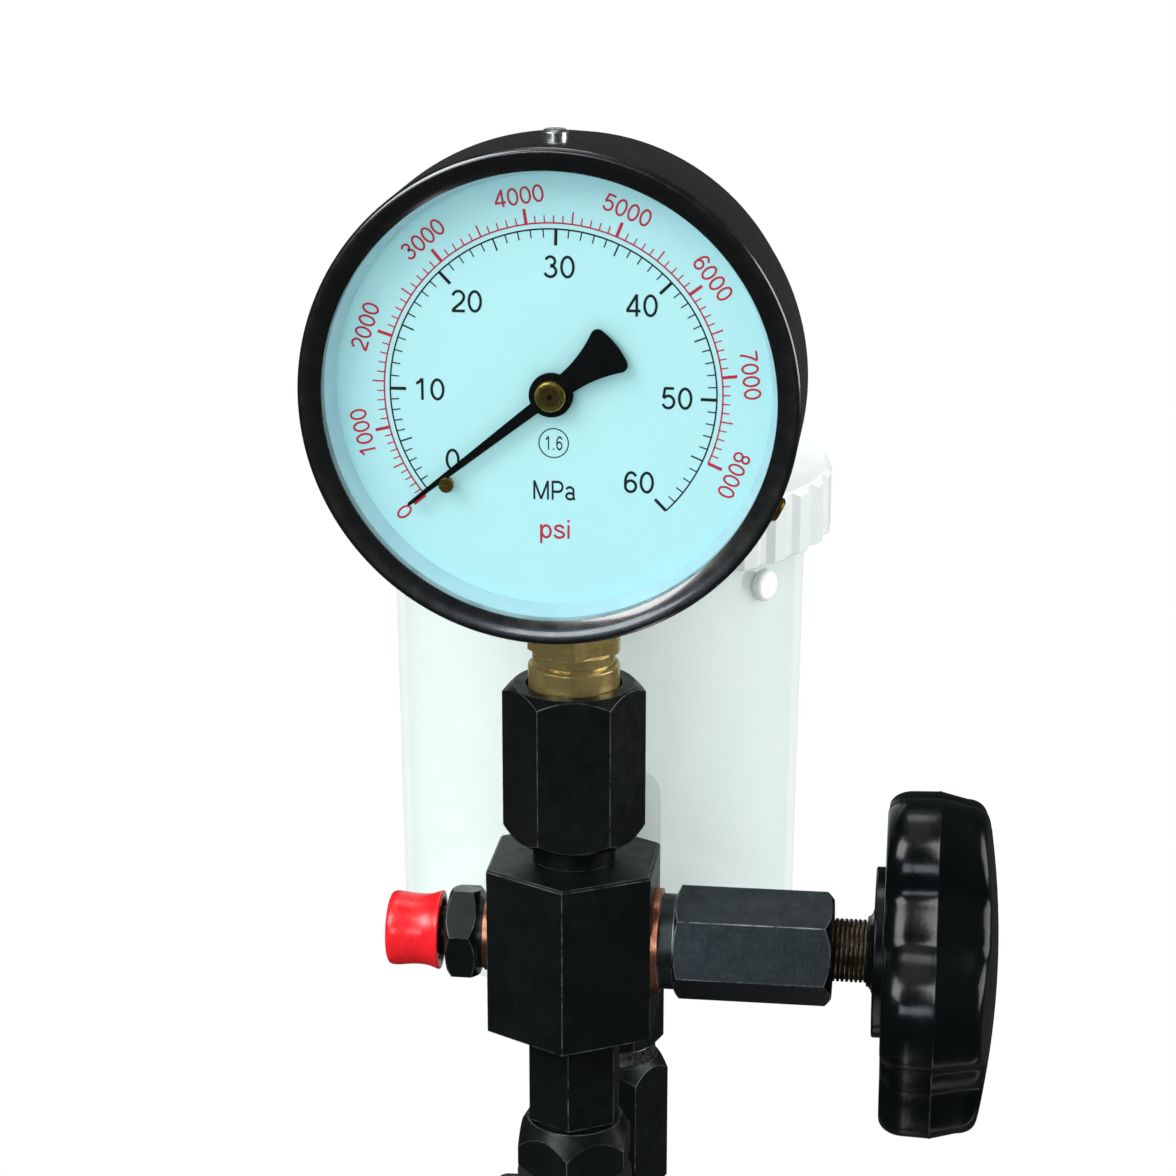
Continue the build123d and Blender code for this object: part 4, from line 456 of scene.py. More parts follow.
NODE_FINISHES = {
    CAST_PAINT: "foot_plate pump_housing",
    GROUND: "barrel plunger tappet spring_plate delivery_seat delivery_valve needle",
    GROUND_Y: "roller roller_pin pivot_pin circlip",
    OXIDE: "foot_screw_1 foot_screw_2 foot_screw_3 foot_screw_4 lever_arm lock_nut pressure_stud cross_block "
           "neck_adapter gauge_coupling outlet_union union_nut tank_fitting inlet_arm",
    OXIDE_LIGHT: "valve_body",
    PLATED: "lever_rod bezel_screw_1 case_screw",
    GRIP: "grip",
    TURNED_PAINTED_SHADE: "stack_washer",
    COPPER: "outlet_washer valve_washer",
    BRASS: "gauge_socket",
    CASE_ENAMEL: "gauge_case",
    RING_WHITE: "glass_gasket",
    GLASS: "gauge_glass",
    DIAL_PAINT: "dial",
    POINTER_BLACK: "pointer",
    BRASS_HUB: "pinion_arbor",
    BRASS_FACE: "stop_pin sector link movement bourdon_tube bezel_screw_2 bezel_screw_3",
    TANK: "tank",
    LID: "tank_lid",
    PLUG: "vent_plug",
    NYLON: "tank_nut tank_filter",
}


def dress(finishes: dict[Finish, str]) -> None:
    """Gives each carried-over CAD node its finish.

    Args:
        finishes: The names of the nodes that have each finish.
    """
    for finish, names in finishes.items():
        for name in names.split():
            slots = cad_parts[name].data.materials
            slots.clear()
            slots.append(finish.material())
        log.info("dressed %s", names)


def finished(name: str, mesh: Mesh, finish: Finish, body: str,
             smooth: bool = True) -> bpy.types.Object:
    """Merges a mesh, turns its faces outwards, dresses it and puts it on its body.

    Args:
        name: The piece's name.
        mesh: The mesh, already in place.
        finish: What it is made of.
        body: The CAD body that it rides on.
        smooth: Whether it shades smoothly, apart from its sharp edges.

    Returns:
        The new object.
    """
    work = bmesh.new()
    work.from_mesh(mesh)
    bmesh.ops.remove_doubles(work, verts=work.verts, dist=SAME)
    bmesh.ops.recalc_face_normals(work, faces=work.faces)
    work.to_mesh(mesh)
    work.free()
    if smooth:
        mesh.shade_smooth()
        mesh.set_sharp_from_angle(angle=math.radians(SHARP_ANGLE))
    mesh.materials.clear()
    mesh.materials.append(finish.material())
    piece = bpy.data.objects.new(name, mesh)
    bpy.context.scene.collection.objects.link(piece)
    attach(piece, body)
    log.info("made %s", name)
    return piece


class Recipe:
    """A Geometry Nodes tree with named inputs, run once and turned into a plain mesh."""

    def __init__(self, name: str, sizes: dict[str, str]) -> None:
        """Starts the tree.

        Args:
            name: The tree's name.
            sizes: The kind of socket for each named input.
        """
        self.tree = bpy.data.node_groups.new(name, "GeometryNodeTree")
        for label, kind in sizes.items():
            self.tree.interface.new_socket(name=label, in_out="INPUT", socket_type=kind)
        self.tree.interface.new_socket(name="Geometry", in_out="OUTPUT", socket_type="NodeSocketGeometry")
        self.given = node(self.tree, "NodeGroupInput").outputs

    def add(self, kind: str, inputs: dict | None = None, **settings: object) -> bpy.types.Node:
        """Adds a node to this tree."""
        return node(self.tree, kind, inputs, **settings)

    def close(self, geometry: Socket) -> None:
        """Ends the tree with real geometry and its material.

        Args:
            geometry: What the tree has made.
        """
        real = self.add("GeometryNodeRealizeInstances", {0: geometry}).outputs[0]
        dressed = self.add("GeometryNodeSetMaterial", {"Geometry": real, "Material": self.given["Material"]})
        self.add("NodeGroupOutput", {0: dressed.outputs[0]})

    def run(self, **values: object) -> Mesh:
        """Runs the tree on an empty object.

        Args:
            **values: A value for each input, its name's spaces written as underlines.

        Returns:
            The plain mesh.
        """
        holder = bpy.data.objects.new("holder", bpy.data.meshes.new("holder"))
        bpy.context.scene.collection.objects.link(holder)
        modifier = holder.modifiers.new("recipe", "NODES")
        modifier.node_group = self.tree
        for item in self.tree.interface.items_tree:
            if item.item_type == "SOCKET" and item.in_out == "INPUT":
                modifier[item.identifier] = values[item.name.replace(" ", "_").lower()]
        graph = bpy.context.evaluated_depsgraph_get()
        mesh = bpy.data.meshes.new_from_object(holder.evaluated_get(graph))
        bpy.data.objects.remove(holder)
        return mesh


class Ticks(Recipe):
    """Marks of one length, evenly stepped round a centre, seen from the front."""

    def __init__(self) -> None:
        """Builds the tree."""
        super().__init__("dial_ticks", {
            "Count": "NodeSocketInt", "Start": "NodeSocketFloat", "Step": "NodeSocketFloat",
            "Radius": "NodeSocketFloat", "Size": "NodeSocketVector", "Centre": "NodeSocketVector",
            "Material": "NodeSocketMaterial"})
        given = self.given
        points = self.add("GeometryNodePoints", {"Count": given["Count"]})
        index = self.add("GeometryNodeInputIndex").outputs[0]
        turn = self.add("ShaderNodeMath", {
            0: index, 1: given["Step"], 2: given["Start"]}, operation="MULTIPLY_ADD").outputs[0]
        upright = self.add("ShaderNodeCombineXYZ", {2: given["Radius"]}).outputs[0]
        around = self.add("ShaderNodeVectorRotate", {
            "Vector": upright, "Angle": turn}, rotation_type="Y_AXIS").outputs[0]
        spot = self.add("ShaderNodeVectorMath", {0: around, 1: given["Centre"]}, operation="ADD").outputs[0]
        placed = self.add("GeometryNodeSetPosition", {"Geometry": points.outputs[0], "Position": spot})
        bar = self.add("GeometryNodeMeshCube", {"Size": given["Size"]})
        tilt = self.add("ShaderNodeCombineXYZ", {1: turn}).outputs[0]
        copies = self.add("GeometryNodeInstanceOnPoints", {
            "Points": placed.outputs[0], "Instance": bar.outputs[0], "Rotation": tilt})
        self.close(copies.outputs[0])


class Thread(Recipe):
    """A screw thread: one ridge wound round a core, standing on the Z axis."""

    steps_a_turn: int = 48
    ridge_sides: int = 6

    def __init__(self) -> None:
        """Builds the tree."""
        super().__init__("screw_thread", {
            "Turns": "NodeSocketFloat", "Pitch": "NodeSocketFloat", "Radius": "NodeSocketFloat",
            "Ridge": "NodeSocketFloat", "Material": "NodeSocketMaterial"})
        given = self.given
        height = self.add("ShaderNodeMath", {0: given["Turns"], 1: given["Pitch"]}, operation="MULTIPLY").outputs[0]
        middle = self.add("ShaderNodeMath", {0: given["Radius"], 1: given["Ridge"]}, operation="SUBTRACT").outputs[0]
        spiral = self.add("GeometryNodeCurveSpiral", {
            "Resolution": self.steps_a_turn, "Rotations": given["Turns"], "Start Radius": middle, "End Radius": middle,
            "Height": height})
        level = self.add("GeometryNodeSetCurveNormal", {0: spiral.outputs[0]}, mode="Z_UP")
        ridge = self.add("GeometryNodeCurvePrimitiveCircle", {"Resolution": self.ridge_sides, "Radius": given["Ridge"]})
        swept = self.add("GeometryNodeCurveToMesh", {
            0: level.outputs[0], "Profile Curve": ridge.outputs[0], "Fill Caps": True})
        self.close(swept.outputs[0])


def turned_mesh(section: Callable[[float], list[Point]], steps: int = 96) -> Mesh:
    """Sweeps a half section about the Z axis.

    Args:
        section: Gives the half section of (radius, height) in metres at an angle in radians.
        steps: How many flats make the round.

    Returns:
        A closed mesh.
    """
    verts, faces = [], []
    for i in range(steps):
        a = 2 * math.pi * i / steps
        verts += [(r * math.cos(a), r * math.sin(a), z) for r, z in section(a)]
    n = len(verts) // steps
    for i in range(steps):
        j = (i + 1) % steps
        faces += [(i * n + k, j * n + k, j * n + k + 1, i * n + k + 1) for k in range(n - 1)]
    return mesh_of("turned", verts, faces)


def lay(mesh: Mesh, axis: str, degrees: float, place: tuple[float, float, float]) -> None:
    """Turns a mesh about an axis and then moves it to its place.

    Args:
        mesh: The mesh, standing on the Z axis.
        axis: The axis that it turns about.
        degrees: How far it turns.
        place: Where it goes, in metres.
    """
    mesh.transform(Matrix.Translation(place) @ Matrix.Rotation(math.radians(degrees), 4, axis))


def smooth_line(points: list[Point], steps: int) -> list[Point]:
    """Runs a smooth line through points.

    Args:
        points: The points that it passes.
        steps: How many pieces each stretch is cut into.

    Returns:
        The finer line, with both ends.
    """
    ends = [points[0]] + points + [points[-1]]
    line = []
    for a, b, c, d in zip(ends, ends[1:], ends[2:], ends[3:]):
        for i in range(steps):
            t = i / steps
            line.append(tuple(
                b[k] + t * (c[k] - a[k]) / 2 + t * t * (a[k] - 2.5 * b[k] + 2 * c[k] - d[k] / 2)
                + t ** 3 * (1.5 * (b[k] - c[k]) + (d[k] - a[k]) / 2) for k in (0, 1)))
    return line + [points[-1]]


def arc(x: float, y: float, wide: float, high: float, start: float, end: float, step: float = 11.0) -> list[Point]:
    """Gives the points of an upright oval's arc.

    Args:
        x: The oval's middle.
        y: The oval's middle, upwards.
        wide: Half its width.
        high: Half its height.
        start: The first angle, in degrees from the right, anticlockwise.
        end: The last angle.
        step: How far apart the points are, in degrees.

    Returns:
        The points.
    """
    steps = max(FEWEST_FLATS, int(abs(end - start) / step))
    angles = [math.radians(start + (end - start) * i / steps) for i in range(steps + 1)]
    return [(x + wide * math.cos(a), y + high * math.sin(a)) for a in angles]


def ribbon(line: list[Point], width: float, proud: float) -> tuple[list, list]:
    """Gives a drawn line its width and its ink's height.

    Args:
        line: The stroke's middle line.
        width: How wide the stroke is.
        proud: How far the ink stands up.

    Returns:
        The points and the faces of a closed bar.
    """
    closed = math.dist(line[0], line[-1]) < SAME
    points = [Vector(p) for p in (line[:-1] if closed else line)]
    n = len(points)
    verts, faces = [], []
    for i, p in enumerate(points):
        before = points[i - 1] if i or closed else None
        after = points[(i + 1) % n] if i < n - 1 or closed else None
        first = (p - before).normalized() if before else (after - p).normalized()
        second = (after - p).normalized() if after else first
        way = (first + second).normalized()
        side = Vector((-way.y, way.x)) * (width / 2 / max(SHARPEST_BEND, way.dot(first)))
        verts += [(*(p + side), 0.0), (*(p - side), 0.0), (*(p - side), proud), (*(p + side), proud)]
    for i in range(n if closed else n - 1):
        a, b = 4 * i, 4 * ((i + 1) % n)
        faces += [(a + k, a + (k + 1) % 4, b + (k + 1) % 4, b + k) for k in range(4)]
    if not closed:
        faces += [(0, 1, 2, 3), (4 * n - 1, 4 * n - 2, 4 * n - 3, 4 * n - 4)]
    return verts, faces


@dataclass
class Lettering:
    """Plain upright figures and letters of one stroke width, as screen printed.

    Each glyph is how far it steps along and the middle lines of its strokes, for a capital one high.
    """

    stroke: float = 0.125
    overlap_share: float = 0.04
    glyphs: dict[str, tuple[float, list]] = field(default_factory=lambda: {
        "0": (0.776, [arc(0.39, 0.5, 0.28, 0.45, 0, 360)]),
        "1": (0.776, [[(0.44, 0.0), (0.44, 1.0)], [(0.15, 0.75), (0.31, 0.84), (0.42, 0.98)]]),
        "2": (0.776, [arc(0.385, 0.69, 0.265, 0.26, 168, 0) + [
            (0.62, 0.56), (0.52, 0.43), (0.33, 0.28), (0.16, 0.14), (0.1, 0.05)], [(0.07, 0.05), (0.69, 0.05)]]),
        "3": (0.776, [arc(0.36, 0.745, 0.22, 0.205, 162, -90) + arc(0.36, 0.295, 0.27, 0.245, 90, -164)]),
        "4": (0.776, [[(0.52, 0.0), (0.52, 1.0)], [(0.51, 0.96), (0.07, 0.27)], [(0.03, 0.25), (0.7, 0.25)]]),
        "5": (0.776, [[(0.64, 0.95), (0.18, 0.95)], [(0.21, 0.97), (0.14, 0.5)],
                      arc(0.37, 0.33, 0.27, 0.28, 146, -160)]),
        "6": (0.776, [arc(0.39, 0.31, 0.255, 0.26, 0, 360),
                      arc(0.42, 0.5, 0.285, 0.45, 38, 180) + [(0.137, 0.31)]]),
        "7": (0.776, [[(0.07, 0.95), (0.69, 0.95)],
                      [(0.67, 0.93), (0.5, 0.69), (0.37, 0.4), (0.3, 0.15), (0.28, 0.0)]]),
        "8": (0.776, [arc(0.39, 0.745, 0.22, 0.205, 0, 360), arc(0.39, 0.295, 0.265, 0.245, 0, 360)]),
        ".": (0.388, [[(0.19, 0.0), (0.19, 0.11)]]),
        "M": (1.163, [[(0.14, 0.0), (0.14, 1.0)], [(1.02, 0.0), (1.02, 1.0)], [(0.15, 0.97), (0.58, 0.03)],
                      [(0.58, 0.03), (1.01, 0.97)]]),
        "P": (0.93, [[(0.16, 0.0), (0.16, 1.0)],
                     [(0.16, 0.95)] + arc(0.53, 0.69, 0.27, 0.26, 90, -90) + [(0.16, 0.43)]]),
        "a": (0.776, [arc(0.34, 0.5, 0.24, 0.19, 160, 0) + [(0.58, 0.3), (0.59, 0.12), (0.66, 0.03)],
                      arc(0.35, 0.215, 0.24, 0.165, 40, 320)]),
        "p": (0.776, [[(0.14, -0.28), (0.14, 0.73)], arc(0.41, 0.36, 0.245, 0.315, 0, 360)]),
        "s": (0.698, [smooth_line([(0.58, 0.54), (0.5, 0.65), (0.34, 0.69), (0.17, 0.63), (0.14, 0.51),
                                   (0.27, 0.42), (0.46, 0.35), (0.6, 0.25), (0.57, 0.12), (0.4, 0.05),
                                   (0.2, 0.07), (0.09, 0.2)], 3)]),
        "i": (0.31, [[(0.155, 0.0), (0.155, 0.73)], [(0.155, 0.88), (0.155, 1.0)]])})

    def mesh(self, text: str, proud: float) -> Mesh:
        """Sets a line of text about its middle, one capital high.

        Args:
            text: What is printed.
            proud: How far the ink stands up, in capital heights.

        Returns:
            A closed mesh that lies flat.
        """
        across = sum(self.glyphs[letter][0] for letter in text)
        verts, faces, along = [], [], -across / 2
        for letter in text:
            step, strokes = self.glyphs[letter]
            for i, line in enumerate(strokes):
                bar, sides = ribbon(line, self.stroke, proud * (1 + self.overlap_share * i))
                faces += [tuple(len(verts) + k for k in side) for side in sides]
                verts += [(x + along, y - 0.5, z) for x, y, z in bar]
            along += step
        return mesh_of("word", verts, faces)


@dataclass
class Legend:
    """One printed word: its place from the dial's centre, its height, how wide it is set and its ring, if any."""

    text: str
    place_mm: Point
    height_mm: float
    squeeze: float = 0.95
    ring_mm: float = 0.0


@dataclass
class Scale:
    """One printed scale of the dial: where its figures stand and how long its marks are.

    Angles are in degrees, clockwise from the top. Figures that the printer shifted are given with their own angle
    and distance from the centre.
    """

    name: str
    finish: Finish
    angles: list[float]
    ring_mm: float
    outward: bool
    lengths_mm: tuple[float, float, float]
    labels: list[str]
    label_mm: float
    label_height_mm: float
    upright: bool
    moved: dict[str, Point]
    legends: list[Legend]


@dataclass
class GaugeFace:
    """Everything printed on the dial, as ink a little proud of the enamel.

    The rows of marks are how many a section has, where the first stands and how far apart they are, in tenths of
    the section: long marks at its ends, one in the middle and short ones between.
    """

    height: float = field(init=False)
    front: float = field(init=False)
    ink_mm: float = 0.05
    line_mm: float = 0.3
    ring_line_mm: float = 0.22
    ring_step: float = 1.25
    mark_rows: tuple[tuple[int, int, int], ...] = ((2, 0, 10), (1, 5, 1), (9, 1, 1))
    mark_widths_mm: tuple[float, float, float] = (0.62, 0.3, 0.24)
    mark_proud: tuple[float, float, float] = (1.2, 1.1, 1.0)
    letters: Lettering = field(default_factory=Lettering)
    scales: list[Scale] = field(default_factory=lambda: [
        Scale("black", INK_BLACK, angles=[231.3, 270.1, 316.6, 361.4, 406.2, 451.0, 495.8],
              ring_mm=32.58, outward=False, lengths_mm=(3.2, 2.5, 1.7),
              labels=["0", "10", "20", "30", "40", "50", "60"],
              label_mm=24.7, label_height_mm=4.4, upright=True,
              moved={"0": (234.9, 24.7), "30": (363.2, 25.2), "40": (404.7, 25.2)},
              legends=[Legend("MPa", (0.3, -19.9), height_mm=3.9, squeeze=0.8),
                       Legend("1.6", (0.2, -10.2), height_mm=2.8, squeeze=0.7, ring_mm=2.95)]),
        Scale("red", INK_RED, angles=[230.0, 256.5, 288.4, 319.7, 351.4, 382.0, 413.1, 443.3, 473.4],
              ring_mm=33.76, outward=True, lengths_mm=(3.0, 2.4, 1.5),
              labels=["0", "1000", "2000", "3000", "4000", "5000", "6000", "7000", "8000"],
              label_mm=39.4, label_height_mm=3.4, upright=False, moved={"4000": (350.6, 39.4)},
              legends=[Legend("psi", (0.4, -27.9), height_mm=3.9)])])

    def __post_init__(self) -> None:
        """Takes the face's place from the CAD dial."""
        low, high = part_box("dial")
        self.height = (low.z + high.z) / 2
        self.front = low.y

    def onto(self) -> Matrix:
        """Gives the turn, place and scale that lay a print in millimetres on the enamel."""
        place = Matrix.Translation((0.0, self.front, self.height))
        return place @ Matrix.Rotation(math.radians(QUARTER_TURN), 4, "X") @ Matrix.Scale(MM, 4)

    def line(self, points: list[Point], width_mm: float) -> Mesh:
        """Prints a line.

        Args:
            points: Its middle, in millimetres to the right of the dial's centre and above it.
            width_mm: How wide it is.

        Returns:
            A closed mesh in place.
        """
        mesh = mesh_of("line", *ribbon(points, width_mm, self.ink_mm))
        mesh.transform(self.onto())
        return mesh

    def word(self, legend: Legend, turn: float = 0.0) -> Mesh:
        """Prints figures or a unit.

        Args:
            legend: What is printed, where and how large.
            turn: How far it is turned clockwise, in degrees.

        Returns:
            A closed mesh in place.
        """
        mesh = self.letters.mesh(legend.text, self.ink_mm / legend.height_mm)
        size = Matrix.Diagonal((legend.height_mm * legend.squeeze, legend.height_mm, legend.height_mm, 1.0))
        place = Matrix.Translation((*legend.place_mm, 0.0)) @ Matrix.Rotation(-math.radians(turn), 4, "Z")
        mesh.transform(self.onto() @ place @ size)
        return mesh

    def marks(self, ticks: Ticks, scale: Scale) -> list[Mesh]:
        """Prints one scale's marks, section by section.

        Args:
            ticks: The recipe for marks.
            scale: The scale.

        Returns:
            The marks as meshes.
        """
        made = []
        way = 1 if scale.outward else -1
        rows = list(zip(self.mark_rows, scale.lengths_mm, self.mark_widths_mm, self.mark_proud))
        for a, b in zip(scale.angles, scale.angles[1:]):
            tenth = math.radians((b - a) / 10)
            for (count, first, gap), length, width, proud in rows:
                thick = self.ink_mm * MM * proud
                made.append(ticks.run(
                    count=count, start=math.radians(a) + first * tenth, step=gap * tenth,
                    radius=(scale.ring_mm + way * length / 2) * MM, size=(width * MM, thick, length * MM),
                    centre=(0.0, self.front - thick / 2, self.height), material=scale.finish.material()))
        return made

    def build(self, ticks: Ticks) -> None:
        """Prints both scales, the units and the class mark.

        Args:
            ticks: The recipe for marks.
        """
        for scale in self.scales:
            made = self.marks(ticks, scale)
            start, end = (QUARTER_TURN - scale.angles[i] for i in (0, -1))
            made.append(self.line(arc(0, 0, scale.ring_mm, scale.ring_mm, start, end, self.ring_step), self.line_mm))
            for angle, label in zip(scale.angles, scale.labels):
                angle, out = scale.moved.get(label, (angle, scale.label_mm))
                a = math.radians(angle)
                figure = Legend(label, (out * math.sin(a), out * math.cos(a)), scale.label_height_mm)
                made.append(self.word(figure, 0.0 if scale.upright else angle))
            for legend in scale.legends:
                made.append(self.word(legend))
                if legend.ring_mm:
                    ring = arc(*legend.place_mm, legend.ring_mm, legend.ring_mm, 0, WHOLE_TURN, self.ring_step)
                    made.append(self.line(ring, self.ring_line_mm))
            work = bmesh.new()
            for mesh in made:
                work.from_mesh(mesh)
            name = f"dial_print_{scale.name}"
            joined = bpy.data.meshes.new(name)
            work.to_mesh(joined)
            work.free()
            finished(name, joined, scale.finish, "tester", smooth=False)


@dataclass
class ReliefValve:
    """The screw of the relief valve, with its real thread."""

    pitch_mm: float = 1.0
    ridge_mm: float = 0.42
    core_ridges: float = 1.4
    shoulder_mm: float = 65.7
    gap_mm: float = 0.1
    stud_mm: float = 5.0

    def build(self, thread: Thread) -> None:
        """Replaces the plain spindle with a threaded one.

        Args:
            thread: The recipe for threads.
        """
        low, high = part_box("spindle")
        radius = (high.z - low.z) / 2
        ridge = self.ridge_mm * MM
        length = (self.shoulder_mm - self.gap_mm) * MM - low.x
        whole = high.x - low.x
        core, stud = radius - self.core_ridges * ridge, self.stud_mm * MM
        wound = thread.run(turns=(length - 2 * ridge) / (self.pitch_mm * MM), pitch=self.pitch_mm * MM,
                           radius=radius, ridge=ridge, material=WORN_THREAD.material())
        outline = [(0.0, 0.0), (core, 0.0), (core, length), (stud, length), (stud, whole), (0.0, whole)]
        work = bmesh.new()
        work.from_mesh(wound)
        bmesh.ops.translate(work, verts=work.verts, vec=(0.0, 0.0, ridge))
        work.from_mesh(turned_mesh(lambda turn: outline))
        mesh = bpy.data.meshes.new("spindle_threaded")
        work.to_mesh(mesh)
        work.free()
        lay(mesh, "Y", QUARTER_TURN, (low.x, 0.0, (high.z + low.z) / 2))
        piece = finished("spindle_threaded", mesh, WORN_THREAD, "valve_knob")
        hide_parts("spindle")


@dataclass
class LobedKnob:
    """The moulded knob: five lobes, each half drafted from the parting line, a domed front and a waisted boss.

    Places are along X in the shared frame; rounds are how far they run along and how far inwards.
    """

    lobes: int = 5
    lobe_r_mm: float = 14.0
    lobe_at_mm: float = 26.0
    core_r_mm: float = 32.0
    valley_r_mm: float = 6.0
    back_mm: float = 68.4
    parting_mm: float = 79.5
    front_mm: float = 93.1
    back_draft_mm: float = 0.3
    front_draft_mm: float = 1.6
    back_round_mm: Point = (5.4, 3.8)
    front_round_mm: Point = (4.2, 3.2)
    seam_mm: float = 0.12
    seam_wide_mm: float = 0.3
    dome_mm: float = 5.0
    dome_reach_mm: float = 41.5
    boss_mm: float = 66.2
    boss_r_mm: float = 18.6
    boss_edge_mm: float = 0.3
    flare_mm: float = 64.7
    flare_r_mm: Point = (7.6, 11.0)
    flare_shares: tuple[Point, ...] = ((0.0, 0.0), (0.35, 0.06), (0.65, 0.22), (0.87, 0.52), (1.0, 1.0))
    front_shares: tuple[float, ...] = (0.85, 0.7, 0.55, 0.4, 0.25, 0.1, 0.0)
    bore_r_mm: float = 7.2
    bore_end_mm: float = 65.8
    round_steps: int = 8
    steps: int = 300

    def radius(self, turn: float) -> float:
        """Gives the star's radius at an angle from a lobe, in millimetres.

        Args:
            turn: The angle in radians.

        Returns:
            The distance from the axis to the outline of lobes, hollow valleys and core.
        """
        step = 2 * math.pi / self.lobes
        a = abs((turn + step / 2) % step - step / 2)
        hub = self.core_r_mm + self.valley_r_mm
        span = self.lobe_r_mm + self.valley_r_mm
        valley = math.acos((self.lobe_at_mm ** 2 + hub ** 2 - span ** 2) / (2 * self.lobe_at_mm * hub))
        share = self.lobe_r_mm / span
        across = share * hub * math.sin(valley)
        touch = math.atan2(across, self.lobe_at_mm + share * (hub * math.cos(valley) - self.lobe_at_mm))
        if a < touch:
            return self.lobe_at_mm * math.cos(a) + math.sqrt(
                self.lobe_r_mm ** 2 - (self.lobe_at_mm * math.sin(a)) ** 2)
        if a < valley:
            off = valley - a
            return hub * math.cos(off) - math.sqrt(self.valley_r_mm ** 2 - (hub * math.sin(off)) ** 2)
        return self.core_r_mm

    def crown(self, radius_mm: float) -> float:
        """Gives the domed front's place along X at a radius, both in millimetres."""
        return self.front_mm - self.dome_mm * (radius_mm / self.dome_reach_mm) ** 2

    def section(self, turn: float) -> list[Point]:
        """Gives the half section at one angle, from the spindle's bore over the rim to the front's middle.

        Args:
            turn: The angle about the knob's axis, in radians.

        Returns:
            Points of (radius, place along X), in metres.
        """
        rim = self.radius(turn + math.pi / 2)
        near, far = self.flare_r_mm
        line = [(0.0, self.bore_end_mm), (self.bore_r_mm, self.bore_end_mm), (self.bore_r_mm, self.flare_mm)]
        line += [(near + (far - near) * out, self.flare_mm + (self.boss_mm - self.flare_mm) * along)
                 for along, out in self.flare_shares]
        line += [(self.boss_r_mm - self.boss_edge_mm, self.boss_mm),
                 (self.boss_r_mm, self.boss_mm + self.boss_edge_mm), (self.boss_r_mm, self.back_mm)]
        angles = [math.pi / 2 * k / self.round_steps for k in range(self.round_steps + 1)]
        wide, deep = self.back_round_mm
        line += [(rim - self.back_draft_mm - deep * (1 - math.sin(a)), self.back_mm + wide * (1 - math.cos(a)))
                 for a in angles]
        line += [(rim - self.seam_mm, self.parting_mm - self.seam_wide_mm), (rim, self.parting_mm),
                 (rim - self.seam_mm, self.parting_mm + self.seam_wide_mm)]
        wide, deep = self.front_round_mm
        inner = rim - self.front_draft_mm - deep
        line += [(inner + deep * math.cos(a), self.crown(inner) - wide * (1 - math.sin(a))) for a in angles]
        line += [(inner * share, self.crown(inner * share)) for share in self.front_shares]
        return [(r * MM, x * MM) for r, x in line]

    def build(self) -> None:
        """Replaces the CAD knob, whose sides are straight."""
        low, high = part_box("spindle")
        mesh = turned_mesh(self.section, self.steps)
        lay(mesh, "Y", QUARTER_TURN, (0.0, 0.0, (low.z + high.z) / 2))
        piece = finished("knob_moulded", mesh, PHENOLIC, "valve_knob")
        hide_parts("knob")


@dataclass
class SoftCap:
    """The dipped cap over the outlet: rounded end, slack waist and a rim that has flared a little askew.

    Corners and lip are how far they run inwards and along.
    """

    thread_mm: float = 7.04
    profile_steps: int = 4
    end_mm: float = 1.2
    corner_mm: Point = (0.6, 0.5)
    lip_mm: Point = (0.5, 0.6)
    slack_mm: float = 0.5
    slack_share: float = 0.7
    slack_turn: float = 0.6
    steps: int = 96
    profile_mm: tuple[Point, ...] = (
        (7.3, 0.0), (7.95, 0.35), (8.22, 1.2), (8.2, 2.6), (7.98, 4.4), (7.85, 6.4), (7.92, 8.2), (8.2, 9.7),
        (8.6, 10.9), (8.78, 11.5), (8.6, 11.88))

    def build(self) -> None:
        """Replaces the CAD cap with the soft one."""
        low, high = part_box("outlet_cap")
        length = high.x - low.x
        (corner_in, corner_on), (lip_out, lip_on) = self.corner_mm, self.lip_mm
        profile = smooth_line(list(self.profile_mm), self.profile_steps)
        outline = [(0.0, 0.0)] + [(r * MM, z * MM) for r, z in profile]
        outline += [((self.thread_mm + lip_out) * MM, length), (self.thread_mm * MM, length - lip_on * MM),
                    (self.thread_mm * MM, (self.end_mm + corner_on) * MM),
                    ((self.thread_mm - corner_in) * MM, self.end_mm * MM), (0.0, self.end_mm * MM)]
        mesh = turned_mesh(lambda turn: outline, self.steps)
        for v in mesh.vertices:
            a = math.atan2(v.co.y, v.co.x)
            near_rim = max(0.0, (v.co.z / length - self.slack_share) / (1 - self.slack_share))
            v.co.z -= self.slack_mm * MM * near_rim * (1 + math.sin(a + self.slack_turn)) / 2
        lay(mesh, "Y", QUARTER_TURN, (low.x, 0.0, (high.z + low.z) / 2))
        piece = finished("outlet_cap_soft", mesh, SOFT_RED, "outlet_cap")
        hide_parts("outlet_cap")


